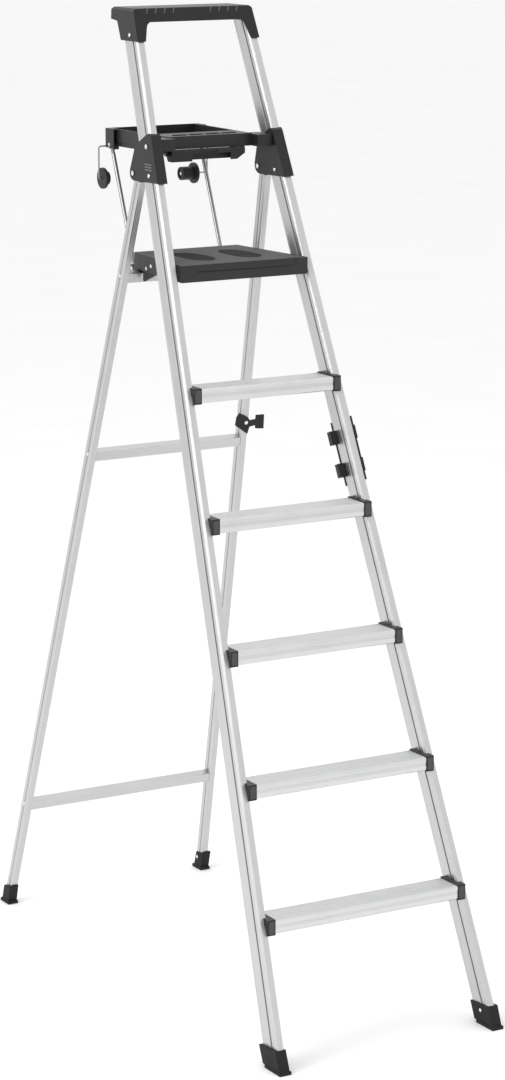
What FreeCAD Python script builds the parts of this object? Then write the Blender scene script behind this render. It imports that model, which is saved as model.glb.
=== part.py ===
import FreeCAD, Part
import math
import os

import Sketcher
from FreeCAD import Vector

# Platform step ladder. +X is the right-hand side, the climber stands on the -Y side, +Z is up.
# The origin is on the floor at the centre of the four feet. Millimetres and degrees.

DIMENSIONS = {
    # Overall shape of the open ladder
    "overall_height": 2390, "footprint_depth": 1483, "floor_half_width": 305, "side_taper": 3.43,
    "front_lean": 21.72, "rear_lean": 15.62, "fit_gap": 0.1, "seat_gap": 0.3,
    # Extruded front rails and rear legs
    "rail_width": 17, "rail_depth": 65.5, "rail_wall": 2.4, "rail_start": 34,
    "groove_setback": 22, "groove_width": 5.5, "groove_depth": 1.4,
    "leg_width": 17.8, "leg_depth": 30, "leg_wall": 1.6, "leg_inset": 1.4, "leg_start": 20,
    # Steps
    "first_step_height": 336, "step_rise": 294, "step_lead": 20, "step_depth": 75, "step_skirt": 35,
    "step_wall": 2, "rear_skirt": 24, "rib_height": 1.2, "rib_width": 3, "skirt_return": 9,
    "cap_inset": 13.5, "cap_overlap": 7, "cap_rim": 1.6, "socket_depth": 8,
    # Feet
    "sole_thickness": 8, "front_sole_depth": 71, "front_sole_width": 31.5, "front_sole_lead": 5,
    "front_sole_outset": 6.5, "rear_sole_depth": 49, "rear_sole_width": 28.5, "rear_sole_trail": 8,
    "rear_sole_outset": 4, "boot_height": 54, "boot_wall": 2.6, "tread_groove": 3,
    # Hinge brackets and pivots
    "bracket_wall": 4.6, "bracket_inner_wall": 3, "bracket_front": 5, "bracket_slot": 20.4,
    "leg_pivot_height": 1997, "tray_pivot_height": 2066, "platform_pivot_height": 1770, "pivot_setback": 23,
    "pin_radius": 4, "running_gap": 0.06, "head_radius": 6, "head_height": 2.2, "rivet_radius": 2.5,
    "plug_ear_radius": 9.5, "plug_length": 44, "leg_end_gap": 13,
    # Top cap
    "cap_depth": 113, "cap_side_drop": 78, "cap_bridge": 33, "cap_wall": 4, "cap_cheek_low": 18,
    "cap_cheek_high": 42, "cap_rib": 2.4,
    # Platform
    "platform_height": 1793, "platform_thickness": 41, "platform_lead": 36, "platform_reach": 261,
    "platform_clearance": 5, "platform_rear_half": 146, "platform_wall": 3.6,
    "rod_reach": 296, "rod_drop": 22, "rod_half_spacing": 126, "rod_radius": 5, "rod_pin_radius": 3,
    "rod_eye_radius": 8, "rod_eye_width": 6, "rod_flat_length": 24, "ear_wall": 5,
    "hook_setback": 215, "hook_length": 76, "hook_drop": 27, "hook_wall": 4,
    # Crossbars of the rear frame
    "bar_height": 24, "bar_depth": 26, "bar_wall": 1.6, "lower_bar_height": 295, "middle_bar_height": 1275,
    # Tray
    "tray_height": 2084.5, "tray_apron": 31, "tray_front_half": 117, "tray_rear_half": 122.5,
    "tray_setback": 17, "tray_reach": 317, "tray_wall": 3.5, "ledge_depth": 84, "bin_depth": 25,
    "slot_length": 34, "slot_width": 9,
    "tray_ear_length": 52, "tray_skirt": 12, "tray_skirt_inset": 2, "corner_cover": 3,
    # Release latch under the tray
    "latch_left": 116, "latch_right": 88, "latch_depth": 30, "latch_drop": 28, "latch_wall": 3,
    "latch_pin_radius": 2.5, "latch_lug": 5,
    # Towel holder
    "wire_radius": 2, "wire_reach": 155, "wire_height": 2040, "wire_fall": 80, "wire_bend": 6,
    "flange_radius": 26.5, "flange_thickness": 7, "core_radius": 17, "long_core": 42, "short_core": 17,
    "long_flange_reach": 119.5, "short_flange_reach": 147.4, "plug_screw_radius": 4,
    # Storage strap and catch plate of the right-hand side
    "strap_height": 1330, "strap_thickness": 4, "catch_height": 1340, "catch_length": 160, "catch_wall": 3.6,
    "catch_flange": 3, "catch_block": 18, "catch_block_length": 34,
}

doc = FreeCAD.newDocument("step_ladder")
sheet = doc.addObject("Spreadsheet::Sheet", "dims")
for row, (alias, number) in enumerate(DIMENSIONS.items(), start=1):
    sheet.set(f"A{row}", alias)
    sheet.set(f"B{row}", str(number))
    sheet.setAlias(f"B{row}", alias)
doc.recompute()


class Size:
    """A number together with the spreadsheet expression that gives it."""

    def __init__(self, value, text):
        self.value = float(value)
        self.text = text

    def __add__(self, other):
        other = size(other)
        return Size(self.value + other.value, f"({self.text} + {other.text})")

    def __sub__(self, other):
        other = size(other)
        return Size(self.value - other.value, f"({self.text} - {other.text})")

    def __mul__(self, other):
        other = size(other)
        return Size(self.value * other.value, f"{self.text} * {other.text}")

    def __truediv__(self, other):
        other = size(other)
        return Size(self.value / other.value, f"{self.text} / ({other.text})")

    def __neg__(self):
        return size(-1) * self

    def __radd__(self, other):
        return size(other) + self

    def __rsub__(self, other):
        return size(other) - self

    def __rmul__(self, other):
        return size(other) * self

    def __rtruediv__(self, other):
        return size(other) / self


def size(number):
    """Any plain number as a Size."""
    if isinstance(number, Size):
        return number
    return Size(number, f"({float(number)!r})")


def cell(alias):
    """The driving dimension with this alias."""
    return Size(DIMENSIONS[alias], f"dims.{alias}")


def sine(angle):
    return Size(math.sin(math.radians(angle.value)), f"sin({angle.text})")


def cosine(angle):
    return Size(math.cos(math.radians(angle.value)), f"cos({angle.text})")


def tangent(angle):
    return Size(math.tan(math.radians(angle.value)), f"tan({angle.text})")


class Frame:
    """A place and a direction: turned by roll about X, then by pitch about Y, then moved to its origin."""

    def __init__(self, x, y, z, pitch=0, roll=0):
        self.origin = [size(x), size(y), size(z)]
        self.pitch = size(pitch)
        self.roll = size(roll)

    def point(self, x, y, z):
        """The place of a local point, as three Sizes."""
        cp, sp = cosine(self.pitch), sine(self.pitch)
        cr, sr = cosine(self.roll), sine(self.roll)
        axes = [(cp, size(0), -sp), (sr * sp, cr, sr * cp), (cr * sp, -sr, cr * cp)]
        total = list(self.origin)
        for amount, axis in zip((size(x), size(y), size(z)), axes):
            if amount.value:
                total = [old + amount * share for old, share in zip(total, axis)]
        return total

    def moved(self, x, y, z):
        """The same direction at another local place."""
        return Frame(*self.point(x, y, z), self.pitch, self.roll)


def put(item, frame):
    """Binds an object's Placement to a frame."""
    x, y, z = (value.text for value in frame.origin)
    turn = f"rotation(0; {frame.pitch.text}; {frame.roll.text})"
    item.setExpression("Placement", f"placement(vector({x}; {y}; {z}); {turn})")
    return item


def box(name, frame, x, y, z):
    """A box between (low, high) pairs along the axes of a frame."""
    low = [size(pair[0]) for pair in (x, y, z)]
    item = doc.addObject("Part::Box", name)
    for side_name, pair in zip(("Length", "Width", "Height"), (x, y, z)):
        item.setExpression(side_name, (size(pair[1]) - size(pair[0])).text)
    return put(item, frame.moved(*low))


def rod_along_x(name, frame, x, y, z, radius):
    """A round bar along the frame's X, between a (low, high) pair."""
    item = doc.addObject("Part::Cylinder", name)
    item.setExpression("Radius", size(radius).text)
    item.setExpression("Height", (size(x[1]) - size(x[0])).text)
    start = frame.point(x[0], y, z)
    return put(item, Frame(*start, frame.pitch + 90, 0))


def rod_along_z(name, frame, x, y, z, radius):
    """A round bar along the frame's Z, between a (low, high) pair."""
    item = doc.addObject("Part::Cylinder", name)
    item.setExpression("Radius", size(radius).text)
    item.setExpression("Height", (size(z[1]) - size(z[0])).text)
    return put(item, frame.moved(x, y, z[0]))


def tie_point(sketch, edge, point):
    """Ties the start of a sketch edge to two sizes measured from the sketch origin."""
    for kind, value in (("DistanceX", point[0]), ("DistanceY", point[1])):
        if value.value < 0:
            ends, text = (edge, 1, -1, 1), (-value).text
        else:
            ends, text = (-1, 1, edge, 1), value.text
        index = sketch.addConstraint(Sketcher.Constraint(kind, *ends, abs(value.value)))
        sketch.setExpression(f"Constraints[{index}]", text)


def draw_loop(sketch, points):
    """A closed loop of straight sides through points whose places come from the spreadsheet."""
    points = [(size(a), size(b)) for a, b in points]
    first = sketch.GeometryCount
    count = len(points)
    for k, (a, b) in enumerate(points):
        c, d = points[(k + 1) % count]
        sketch.addGeometry(Part.LineSegment(Vector(a.value, b.value, 0), Vector(c.value, d.value, 0)), False)
    for k, point in enumerate(points):
        after = first + (k + 1) % count
        sketch.addConstraint(Sketcher.Constraint("Coincident", first + k, 2, after, 1))
        tie_point(sketch, first + k, point)


def prism(name, frame, plane, loops, low, high):
    """A Body: loops drawn on an origin plane and padded along that plane's positive axis."""
    body = doc.addObject("PartDesign::Body", name)
    sketch = body.newObject("Sketcher::SketchObject", name + "_outline")
    base = next(item for item in body.Origin.OriginFeatures if item.Role == plane)
    sketch.AttachmentSupport = [(base, "")]
    sketch.MapMode = "FlatFace"
    for points in loops:
        draw_loop(sketch, points)
    pad = body.newObject("PartDesign::Pad", name + "_pad")
    pad.Profile = sketch
    pad.setExpression("Length", (size(high) - size(low)).text)
    pad.Reversed = plane == "XZ_Plane"
    shift = {"YZ_Plane": (low, 0, 0), "XZ_Plane": (0, low, 0), "XY_Plane": (0, 0, low)}[plane]
    return put(body, frame.moved(*shift))


def fuse(name, items):
    joined = doc.addObject("Part::MultiFuse", name)
    joined.Shapes = items
    return joined


def group(name, items):
    """Separate identical solids that share one node."""
    together = doc.addObject("Part::Compound", name)
    together.Links = items
    return together


def cut(name, base, tools):
    result = doc.addObject("Part::Cut", name)
    result.Base = base
    result.Tool = tools[0] if len(tools) == 1 else fuse(name + "_tools", tools)
    return result


def common(name, items):
    result = doc.addObject("Part::MultiCommon", name)
    result.Shapes = items
    return result


def rectangle(x, y):
    return [(x[0], y[0]), (x[1], y[0]), (x[1], y[1]), (x[0], y[1])]


def inset(pair, wall):
    return (size(pair[0]) + wall, size(pair[1]) - wall)


def outward(side, low, high):
    """A (low, high) pair along X for a span measured outward on one side of the ladder."""
    return (size(low), size(high)) if side > 0 else (-size(high), -size(low))


NODES = {}
STEPS = 5


def node(name, item):
    """Makes an object one of the ladder's nodes."""
    item.Label = name
    NODES[name] = item
    return item


# Key places

WORLD = Frame(0, 0, 0)
SIDES = {"left": -1, "right": 1}
gap = cell("fit_gap")
half_width = cell("floor_half_width")
taper = cell("side_taper")
front_lean = cell("front_lean")
rear_lean = cell("rear_lean")
front_floor_y = cell("front_sole_lead") - cell("footprint_depth") / 2
rear_floor_y = cell("footprint_depth") / 2 - cell("rear_sole_trail")
rail_width = cell("rail_width")
rail_depth = cell("rail_depth")
leg_width = cell("leg_width")
leg_depth = cell("leg_depth")
leg_inset = cell("leg_inset")


def front_line(height):
    """Y of the front faces of the rails at a height."""
    return front_floor_y + height * tangent(front_lean) / cosine(taper)


def rear_line(height):
    """Y of the rear faces of the legs at a height."""
    return rear_floor_y - height * tangent(rear_lean) / cosine(taper)


def outer_face(height):
    """X of the right rail's outer face at a height."""
    return half_width - height * tangent(taper)


def inner_face(height):
    """X of the right rail's inner face at a height."""
    return outer_face(height) - rail_width / cosine(taper)


def side_frame(side, y=0):
    """Frame in the outer plane of one side: local X across the ladder, Z up the plane."""
    return Frame(side * half_width, y, 0, -side * taper, 0)


def rail_frame(side):
    """Frame along the front outer edge of a rail, starting at the floor."""
    return Frame(side * half_width, front_floor_y, 0, -side * taper, -front_lean)


def leg_frame(side):
    """Frame along the rear outer edge of a leg, starting at the floor."""
    return Frame(side * half_width, rear_floor_y, 0, -side * taper, rear_lean)


leg_pivot = (rear_line(cell("leg_pivot_height")), cell("leg_pivot_height"))
tray_pivot = (front_line(cell("tray_pivot_height")) + cell("pivot_setback"), cell("tray_pivot_height"))
platform_pivot = (front_line(cell("platform_pivot_height")) + cell("pivot_setback"),
                  cell("platform_pivot_height"))
upper_rod_pin = (tray_pivot[0] + cell("rod_reach"), tray_pivot[1] - cell("rod_drop"))
lower_rod_pin = (platform_pivot[0] + cell("rod_reach"), platform_pivot[1] - cell("rod_drop"))
up_plane = 1 / cosine(taper)
rail_end = (cell("overall_height") - cell("cap_wall") - 3) * up_plane / cosine(front_lean)


# Front frame

def rail_space(name, side, extra, low, high):
    """The outer box of a rail, larger all round by extra: cuts the sockets that hold a rail."""
    span = outward(side, -rail_width - extra, size(extra))
    return box(name, rail_frame(side), span, (-size(extra), rail_depth + extra), (low, high))


def front_rail(side, name):
    """Extruded tube with a groove down each side face."""
    x0, x1 = outward(side, -rail_width, size(0))
    groove = cell("groove_setback")
    deep = cell("groove_depth")
    after = groove + cell("groove_width")
    outline = [(x0, 0), (x1, 0), (x1, groove), (x1 - deep, groove), (x1 - deep, after), (x1, after),
               (x1, rail_depth), (x0, rail_depth), (x0, after), (x0 + deep, after), (x0 + deep, groove),
               (x0, groove)]
    wall = cell("rail_wall")
    hollow = rectangle(inset((x0, x1), wall), inset((0, rail_depth), wall))
    tube = prism(name + "_tube", rail_frame(side), "XY_Plane", [outline, hollow],
                 cell("rail_start"), rail_end)
    return node(name, cut(name, tube, rail_holes(name, side)))


def rail_holes(name, side):
    """Holes for every pin and rivet that passes through a rail."""
    loose = cell("rivet_radius") + gap
    pin = cell("pin_radius") + gap
    holes = [step_rivet_shank(f"{name}_step_hole_{index}_{k}", index, side, k, loose)
             for index in range(STEPS) for k in range(2)]
    holes.append(rod_along_x(name + "_foot_hole", *foot_rivet_place(side, "front"), loose))
    holes.append(rod_along_x(name + "_cap_hole", *cap_rivet_place(side), loose))
    holes.append(rod_along_x(name + "_bracket_hole", *bracket_rivet_place(side), loose))
    holes.append(rod_along_x(name + "_tray_hole", WORLD, pin_reach(side, tray_pivot, 60, 30), *tray_pivot, pin))
    holes.append(rod_along_x(name + "_platform_hole", WORLD, platform_pin_reach(side), *platform_pivot, pin))
    if side > 0:
        holes += [catch_screw_shank(f"{name}_catch_hole_{k}", k, loose) for k in range(2)]
    return holes


def step_top(index):
    return cell("first_step_height") + index * cell("step_rise")


def tread(index):
    """Ribbed extruded channel, open below, with a rolled front skirt."""
    top = step_top(index)
    wall = cell("step_wall")
    depth = cell("step_depth")
    skirt = cell("step_skirt")
    rib = cell("rib_height")
    width = cell("rib_width")
    outline = [(0, -rib)]
    ribs = 6
    for k in range(ribs):
        start = depth * (k + 0.5) / ribs - width / 2
        outline += [(start, -rib), (start, size(0)), (start + width, size(0)), (start + width, -rib)]
    outline += [(depth, -rib), (depth, -cell("rear_skirt")), (depth - wall, -cell("rear_skirt")),
                (depth - wall, -wall - rib), (wall, -wall - rib), (wall, wall - skirt),
                (cell("skirt_return"), wall - skirt), (cell("skirt_return"), -skirt), (0, -skirt)]
    front = front_line(top) - cell("step_lead")
    half = inner_face(top) - cell("cap_inset") + cell("socket_depth") - 0.6
    frame = Frame(0, front, top)
    return node(f"step_tread_{index + 1}", prism(f"tread_{index + 1}", frame, "YZ_Plane", [outline], -half, half))


def step_end_cap(index, side):
    """Moulded end cap: a socket for the tread that laps over the front of the rail."""
    name = f"step_end_cap_{'right' if side > 0 else 'left'}_{index + 1}"
    top = step_top(index)
    frame = Frame(0, front_line(top) - cell("step_lead"), top)
    face = inner_face(top)
    rim = cell("cap_rim")
    depth = cell("step_depth")
    skirt = cell("step_skirt")
    mouth = face - cell("cap_inset")
    block = box(name + "_block", frame, outward(side, mouth, face + cell("cap_overlap")),
                (-rim, depth + rim), (-skirt - rim, rim))
    socket = box(name + "_socket", frame, outward(side, mouth - 1, mouth + cell("socket_depth")),
                 (-gap, depth + gap), (-skirt - gap, gap))
    along = top * up_plane / cosine(front_lean)
    rail = rail_space(name + "_rail", side, gap, along - 150, along + 150)
    holes = [step_rivet_shank(f"{name}_hole_{k}", index, side, k, cell("rivet_radius") + gap)
             for k in range(2)]
    return cut(name, block, [socket, rail] + holes)


def step_rivet_place(index, side, k):
    """Local Y and Z, in the side frame, of one of the two rivets that hold a step at a rail."""
    top = step_top(index) - cell("step_skirt") / 2
    y = front_line(top) + cell("step_depth") * (0.22 + 0.28 * k)
    return y, top * up_plane


def step_rivet_shank(name, index, side, k, radius):
    y, up = step_rivet_place(index, side, k)
    reach = outward(side, -rail_width - 7, -rail_width + cell("rail_wall") + 1.5)
    return rod_along_x(name, side_frame(side), reach, y, up, radius)


def step_rivet(index, side, k):
    """Rivet with its head in the socket and its shank through the rail's inner wall."""
    name = f"step_rivet_{'right' if side > 0 else 'left'}_{index + 1}_{k + 1}"
    y, up = step_rivet_place(index, side, k)
    shank = step_rivet_shank(name + "_shank", index, side, k, cell("rivet_radius"))
    head = rod_along_x(name + "_head", side_frame(side), outward(side, -rail_width - 8.6, -rail_width - 7),
                       y, up, cell("rivet_radius") * 1.7)
    return fuse(name, [shank, head])


def foot(side, name, line_frame, floor_y, span_y, span_x, socket, lean_line):
    """Moulded boot with a wider grooved sole; the socket takes the end of a rail or leg."""
    sole_top = cell("sole_thickness")
    wall = cell("boot_wall")
    top = cell("boot_height")
    sole = box(name + "_sole", WORLD, outward(side, *span_x), span_y, (0, sole_top))
    front, rear = lean_line
    boot_x = outward(side, span_x[0] + 1.6, span_x[1] - 1.6)
    outline = [(front(sole_top) - wall, sole_top - 1), (rear(sole_top) + wall, sole_top - 1),
               (rear(top) + wall, top - 6), (front(top) - wall, top)]
    boot = prism(name + "_boot", WORLD, "YZ_Plane", [outline], *boot_x)
    shell = fuse(name + "_shell", [sole, boot])
    grooves = [box(f"{name}_groove_{k}", WORLD, outward(side, span_x[0] - 1, span_x[1] + 1),
                   (span_y[0] + 8 + 12 * k, span_y[0] + 8 + 12 * k + cell("tread_groove")), (-1, 2.5))
               for k in range(3)]
    return cut(name, shell, [socket] + grooves)


def front_foot(side, side_name):
    name = f"front_foot_{side_name}"
    start = -cell("footprint_depth") / 2
    outer = half_width + cell("front_sole_outset")
    socket = rail_space(name + "_socket", side, gap, cell("rail_start") - gap, cell("rail_start") + 120)
    lines = (front_line, lambda height: front_line(height) + rail_depth / cosine(front_lean))
    shell = foot(side, name, rail_frame(side), front_floor_y, (start, start + cell("front_sole_depth")),
                 (outer - cell("front_sole_width"), outer), socket, lines)
    hole = rod_along_x(name + "_hole", *foot_rivet_place(side, "front"), cell("rivet_radius") + gap)
    return node(name, cut(name + "_drilled", shell, [hole]))


def rear_foot(side, side_name):
    name = f"rear_foot_{side_name}"
    end = cell("footprint_depth") / 2
    outer = half_width + cell("rear_sole_outset")
    socket = leg_space(name + "_socket", side, gap, cell("leg_start") - gap, cell("leg_start") + 120)
    lines = (lambda height: rear_line(height) - leg_depth / cosine(rear_lean), rear_line)
    shell = foot(side, name, leg_frame(side), rear_floor_y, (end - cell("rear_sole_depth"), end),
                 (outer - cell("rear_sole_width"), outer), socket, lines)
    hole = rod_along_x(name + "_hole", *foot_rivet_place(side, "rear"), cell("rivet_radius") + gap)
    return node(name, cut(name + "_drilled", shell, [hole]))


def foot_rivet_place(side, end):
    """Frame, span, Y and Z of the rivet on the inner side of a foot."""
    height = cell("boot_height") - 16
    if end == "front":
        y = front_line(height) + rail_depth / 2
        reach = outward(side, -rail_width - 6, -rail_width + cell("rail_wall") + 2)
    else:
        y = rear_line(height) - leg_depth / 2
        reach = outward(side, -leg_inset - leg_width - 6, -leg_inset - leg_width + cell("leg_wall") + 2)
    return side_frame(side), reach, y, height * up_plane


def foot_rivet(side, end):
    """Rivet through the inner wall of a boot and the tube in it."""
    name = f"{end}_foot_rivet_{'right' if side > 0 else 'left'}"
    frame, reach, y, up = foot_rivet_place(side, end)
    shank = rod_along_x(name + "_shank", frame, reach, y, up, cell("rivet_radius"))
    inner = -reach[0] if side > 0 else reach[1]
    head = rod_along_x(name + "_head", frame, outward(side, -inner - 1.6, -inner), y, up,
                       cell("rivet_radius") * 1.9)
    return fuse(name, [shank, head])


def top_cap():
    """Moulded bridge over both rail ends: a front plate, two outer cheeks and a hollow handle."""
    top = cell("overall_height")
    drop = cell("cap_side_drop")
    bridge = cell("cap_bridge")
    wall = cell("cap_wall")
    front = front_line(top) - wall
    rear = front + cell("cap_depth")
    low = top - drop
    behind = front_line(low) + rail_depth
    side_outline = [(front_line(low) - wall, low), (behind + cell("cap_cheek_low"), low),
                    (behind + cell("cap_cheek_high"), top - bridge), (rear, top - bridge + 4),
                    (rear + 1, top - 4), (rear - 4, top), (front + 4, top), (front, top - 3)]
    side_view = prism("cap_side_view", WORLD, "YZ_Plane", [side_outline], -half_width, half_width)
    inner = inner_face(top) - wall
    low_inner = inner_face(low) - 2
    front_outline = [(-outer_face(low) - wall, low), (-low_inner, low), (-inner + 2, top - bridge - 16),
                     (-inner + 6, top - bridge - 6), (-inner + 14, top - bridge), (inner - 14, top - bridge),
                     (inner - 6, top - bridge - 6), (inner - 2, top - bridge - 16),
                     (low_inner, low), (outer_face(low) + wall, low), (outer_face(top) + wall, top - 6),
                     (outer_face(top) + wall - 6, top), (-outer_face(top) - wall + 6, top),
                     (-outer_face(top) - wall, top - 6)]
    front_view = prism("cap_front_view", WORLD, "XZ_Plane", [front_outline], front_line(low) - 40,
                       front_line(low) + 220)
    solid = common("cap_solid", [side_view, front_view])
    cuts = [rail_space(f"cap_socket_{name}", side, gap, rail_end - 200, rail_end + gap)
            for name, side in SIDES.items()]
    cuts += [cap_inside(name, side, low, top - bridge) for name, side in SIDES.items()]
    cuts += cap_pockets(front + wall, rear - wall, top)
    cuts += [rod_along_x(f"cap_hole_{name}", *cap_rivet_place(side), cell("rivet_radius") + gap)
             for name, side in SIDES.items()]
    return node("top_cap", cut("cap", solid, cuts))


def cap_inside(name, side, low, high):
    """Opens a leg of the cap behind its front plate, so that the rail shows from inside."""
    outline = [(front_line(level) + y, level * up_plane) for level, y in
               ((low - 5, -gap), (low - 5, size(200)), (high, size(200)), (high, -gap))]
    return prism(f"cap_inside_{name}", side_frame(side), "YZ_Plane", [outline],
                 *outward(side, -rail_width - 60, gap))


def cap_pockets(front, rear, top):
    """The hollow underside of the handle, left as pockets between cross ribs."""
    count = 5
    half = inner_face(top) - 10
    width = half * 2 / count
    rib = cell("cap_rib") / 2
    return [box(f"cap_pocket_{k}", WORLD, (k * width - half + rib, (k + 1) * width - half - rib), (front, rear),
                (top - cell("cap_bridge") - 1, top - cell("cap_wall"))) for k in range(count)]


def cap_rivet_place(side):
    height = cell("overall_height") - cell("cap_side_drop") + 14
    y = front_line(height) + rail_depth / 2
    reach = outward(side, -cell("rail_wall") - 1.5, cell("cap_wall") + 0.4)
    return side_frame(side), reach, y, height * up_plane


def cap_rivet(side):
    name = f"cap_rivet_{'right' if side > 0 else 'left'}"
    frame, reach, y, up = cap_rivet_place(side)
    shank = rod_along_x(name + "_shank", frame, reach, y, up, cell("rivet_radius"))
    edge = cell("cap_wall") + 0.4
    head = rod_along_x(name + "_head", frame, outward(side, edge, edge + cell("head_height")), y, up,
                       cell("head_radius") * 0.8)
    return fuse(name, [shank, head])


def bracket_outline():
    """Side view of a hinge bracket, as (Y, Z) corners."""
    low = cell("leg_pivot_height") - 17
    front = cell("bracket_front")
    pivot_y = leg_pivot[0]
    top = cell("tray_pivot_height") + 28
    return [(front_line(low) - front, low + 2), (pivot_y - 6, low - 1), (pivot_y + 5, low + 1),
            (pivot_y + 14, low + 7), (pivot_y + 18, low + 16), (pivot_y + 17, low + 26),
            (pivot_y - 1, top - 36), (pivot_y - 6, top - 28), (front_line(top) + 16, top + 1),
            (front_line(top) + 2, top + 4), (front_line(top) - front, top)]


def hinge_bracket(side, side_name):
    """Moulded shoe round the front rail whose two cheeks carry the rear leg's pivot."""
    name = f"hinge_bracket_{side_name}"
    span = outward(side, -cell("bracket_slot") - cell("bracket_inner_wall"), cell("bracket_wall"))
    outline = [(y, z * up_plane) for y, z in bracket_outline()]
    shoe = prism(name + "_shoe", side_frame(side), "YZ_Plane", [outline], *span)
    along = cell("leg_pivot_height") / cosine(front_lean)
    rail = rail_space(name + "_rail", side, gap, along - 200, along + 300)
    slot = box(name + "_slot", rail_frame(side), outward(side, -cell("bracket_slot"), gap),
               (rail_depth - 1, rail_depth + 120), (along - 200, along + 300))
    fixed = rod_along_x(name + "_fixed_hole", *bracket_rivet_place(side), cell("rivet_radius") + gap)
    return node(name, cut(name + "_cut", shoe, [rail, slot, fixed] + pivot_bores(name, side)))


def bracket_rivet_place(side):
    y = front_line(cell("leg_pivot_height")) + rail_depth / 2
    reach = outward(side, -cell("bracket_slot") - cell("bracket_inner_wall") - 0.2, cell("bracket_wall") + 0.2)
    return side_frame(side), reach, y, cell("leg_pivot_height") * up_plane


def bracket_rivet(side):
    """Rivet through the shoe and the rail, with a head on each cheek."""
    name = f"bracket_rivet_{'right' if side > 0 else 'left'}"
    frame, reach, y, up = bracket_rivet_place(side)
    shank = rod_along_x(name + "_shank", frame, reach, y, up, cell("rivet_radius"))
    radius = cell("head_radius") * 0.85
    high = cell("head_height")
    ends = [(reach[0] - high, reach[0]), (reach[1], reach[1] + high)]
    heads = [rod_along_x(f"{name}_head_{k}", frame, end, y, up, radius) for k, end in enumerate(ends)]
    return fuse(name, [shank] + heads)


def pin_reach(side, place, low_extra, high_extra):
    """Span along world X of a pin through one side, from inside the inner face to outside the outer face."""
    face = outer_face(place[1])
    return outward(side, face - low_extra, face + high_extra)


def pivot_bores(name, side):
    """Clearance holes for the leg pin and the tray pin."""
    radius = cell("pin_radius") + cell("running_gap")
    return [rod_along_x(f"{name}_bore_{k}", WORLD, pin_reach(side, place, 60, 30), *place, radius)
            for k, place in enumerate((leg_pivot, tray_pivot))]


def pivot_pin(name, side, place, inside, outside, inner_head=True):
    """Headed pin along X through one side of the ladder."""
    low, high = pin_reach(side, place, inside, outside)
    shank = rod_along_x(name + "_shank", WORLD, (low, high), *place, cell("pin_radius"))
    tall = cell("head_height")
    ends = {"low": (low - tall, low), "high": (high, high + tall)}
    chosen = ["low", "high"] if inner_head else (["high"] if side > 0 else ["low"])
    heads = [rod_along_x(f"{name}_{end}", WORLD, ends[end], *place, cell("head_radius")) for end in chosen]
    return node(name, fuse(name + "_pin", [shank] + heads))


def catch_plate():
    """Moulded catch on the right rail: an outer cheek, a rear flange and two blocks for the strap."""
    centre = cell("catch_height") * up_plane / cosine(front_lean)
    half = cell("catch_length") / 2
    frame = rail_frame(1).moved(0, 0, centre)
    wall = cell("catch_wall")
    flange = cell("catch_flange")
    cheek = box("catch_cheek", frame, (gap, wall), (-1, rail_depth + flange), (-half, half))
    back = box("catch_back", frame, (-rail_width - 2, wall), (rail_depth + gap, rail_depth + flange), (-half, half))
    block = cell("catch_block")
    long = cell("catch_block_length")
    blocks = []
    for k, place in enumerate((-half + 22, half - 22 - long)):
        blocks.append(box(f"catch_block_{k}", frame, (-rail_width - block, -rail_width - 1),
                          (rail_depth - 12, rail_depth + flange), (place, place + long)))
        blocks.append(box(f"catch_bump_{k}", frame, (wall - 1, wall + 5), (2, 22), (place, place + long)))
    solid = fuse("catch_solid", [cheek, back] + blocks)
    space = rail_space("catch_rail", 1, gap, centre - 200, centre + 200)
    holes = [catch_screw_shank(f"catch_hole_{k}", k, cell("rivet_radius") + gap) for k in range(2)]
    return node("catch_plate", cut("catch", solid, [space] + holes))


def catch_screw_shank(name, k, radius):
    centre = cell("catch_height") * up_plane / cosine(front_lean)
    frame = rail_frame(1).moved(0, 0, centre + (k - 0.5) * cell("catch_length") * 0.3)
    return rod_along_x(name, frame, (-cell("rail_wall") - 2, cell("catch_wall")), rail_depth / 2, 0, radius)


def catch_screw(k):
    centre = cell("catch_height") * up_plane / cosine(front_lean)
    frame = rail_frame(1).moved(0, 0, centre + (k - 0.5) * cell("catch_length") * 0.3)
    shank = catch_screw_shank(f"catch_screw_{k}_shank", k, cell("rivet_radius"))
    wall = cell("catch_wall")
    head = rod_along_x(f"catch_screw_{k}_head", frame, (wall, wall + 1.6), rail_depth / 2, 0, 5)
    return fuse(f"catch_screw_{k}", [shank, head])


# Rear frame

def leg_space(name, side, extra, low, high):
    """The outer box of a leg, larger all round by extra."""
    span = outward(side, -leg_inset - leg_width - extra, -leg_inset + extra)
    return box(name, leg_frame(side), span, (-leg_depth - extra, size(extra)), (low, high))


leg_length = cell("leg_pivot_height") * up_plane / cosine(rear_lean) - cell("leg_end_gap")


def rear_leg(side, side_name):
    """Extruded tube of the rear frame."""
    name = f"rear_leg_{side_name}"
    span = outward(side, -leg_inset - leg_width, -leg_inset)
    depth = (-leg_depth, size(0))
    wall = cell("leg_wall")
    loops = [rectangle(span, depth), rectangle(inset(span, wall), inset(depth, wall))]
    tube = prism(name + "_tube", leg_frame(side), "XY_Plane", loops, cell("leg_start"), leg_length)
    holes = [rod_along_x(name + "_foot_hole", *foot_rivet_place(side, "rear"), cell("rivet_radius") + gap)]
    holes += [bar_rivet_shank(f"{name}_bar_hole_{k}", side, height, cell("rivet_radius") + gap)
              for k, height in enumerate(bar_heights())]
    if side > 0:
        holes.append(strap_screw_shank(name + "_strap_hole", cell("rivet_radius") + gap))
    return node(name, cut(name, tube, holes))


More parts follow.
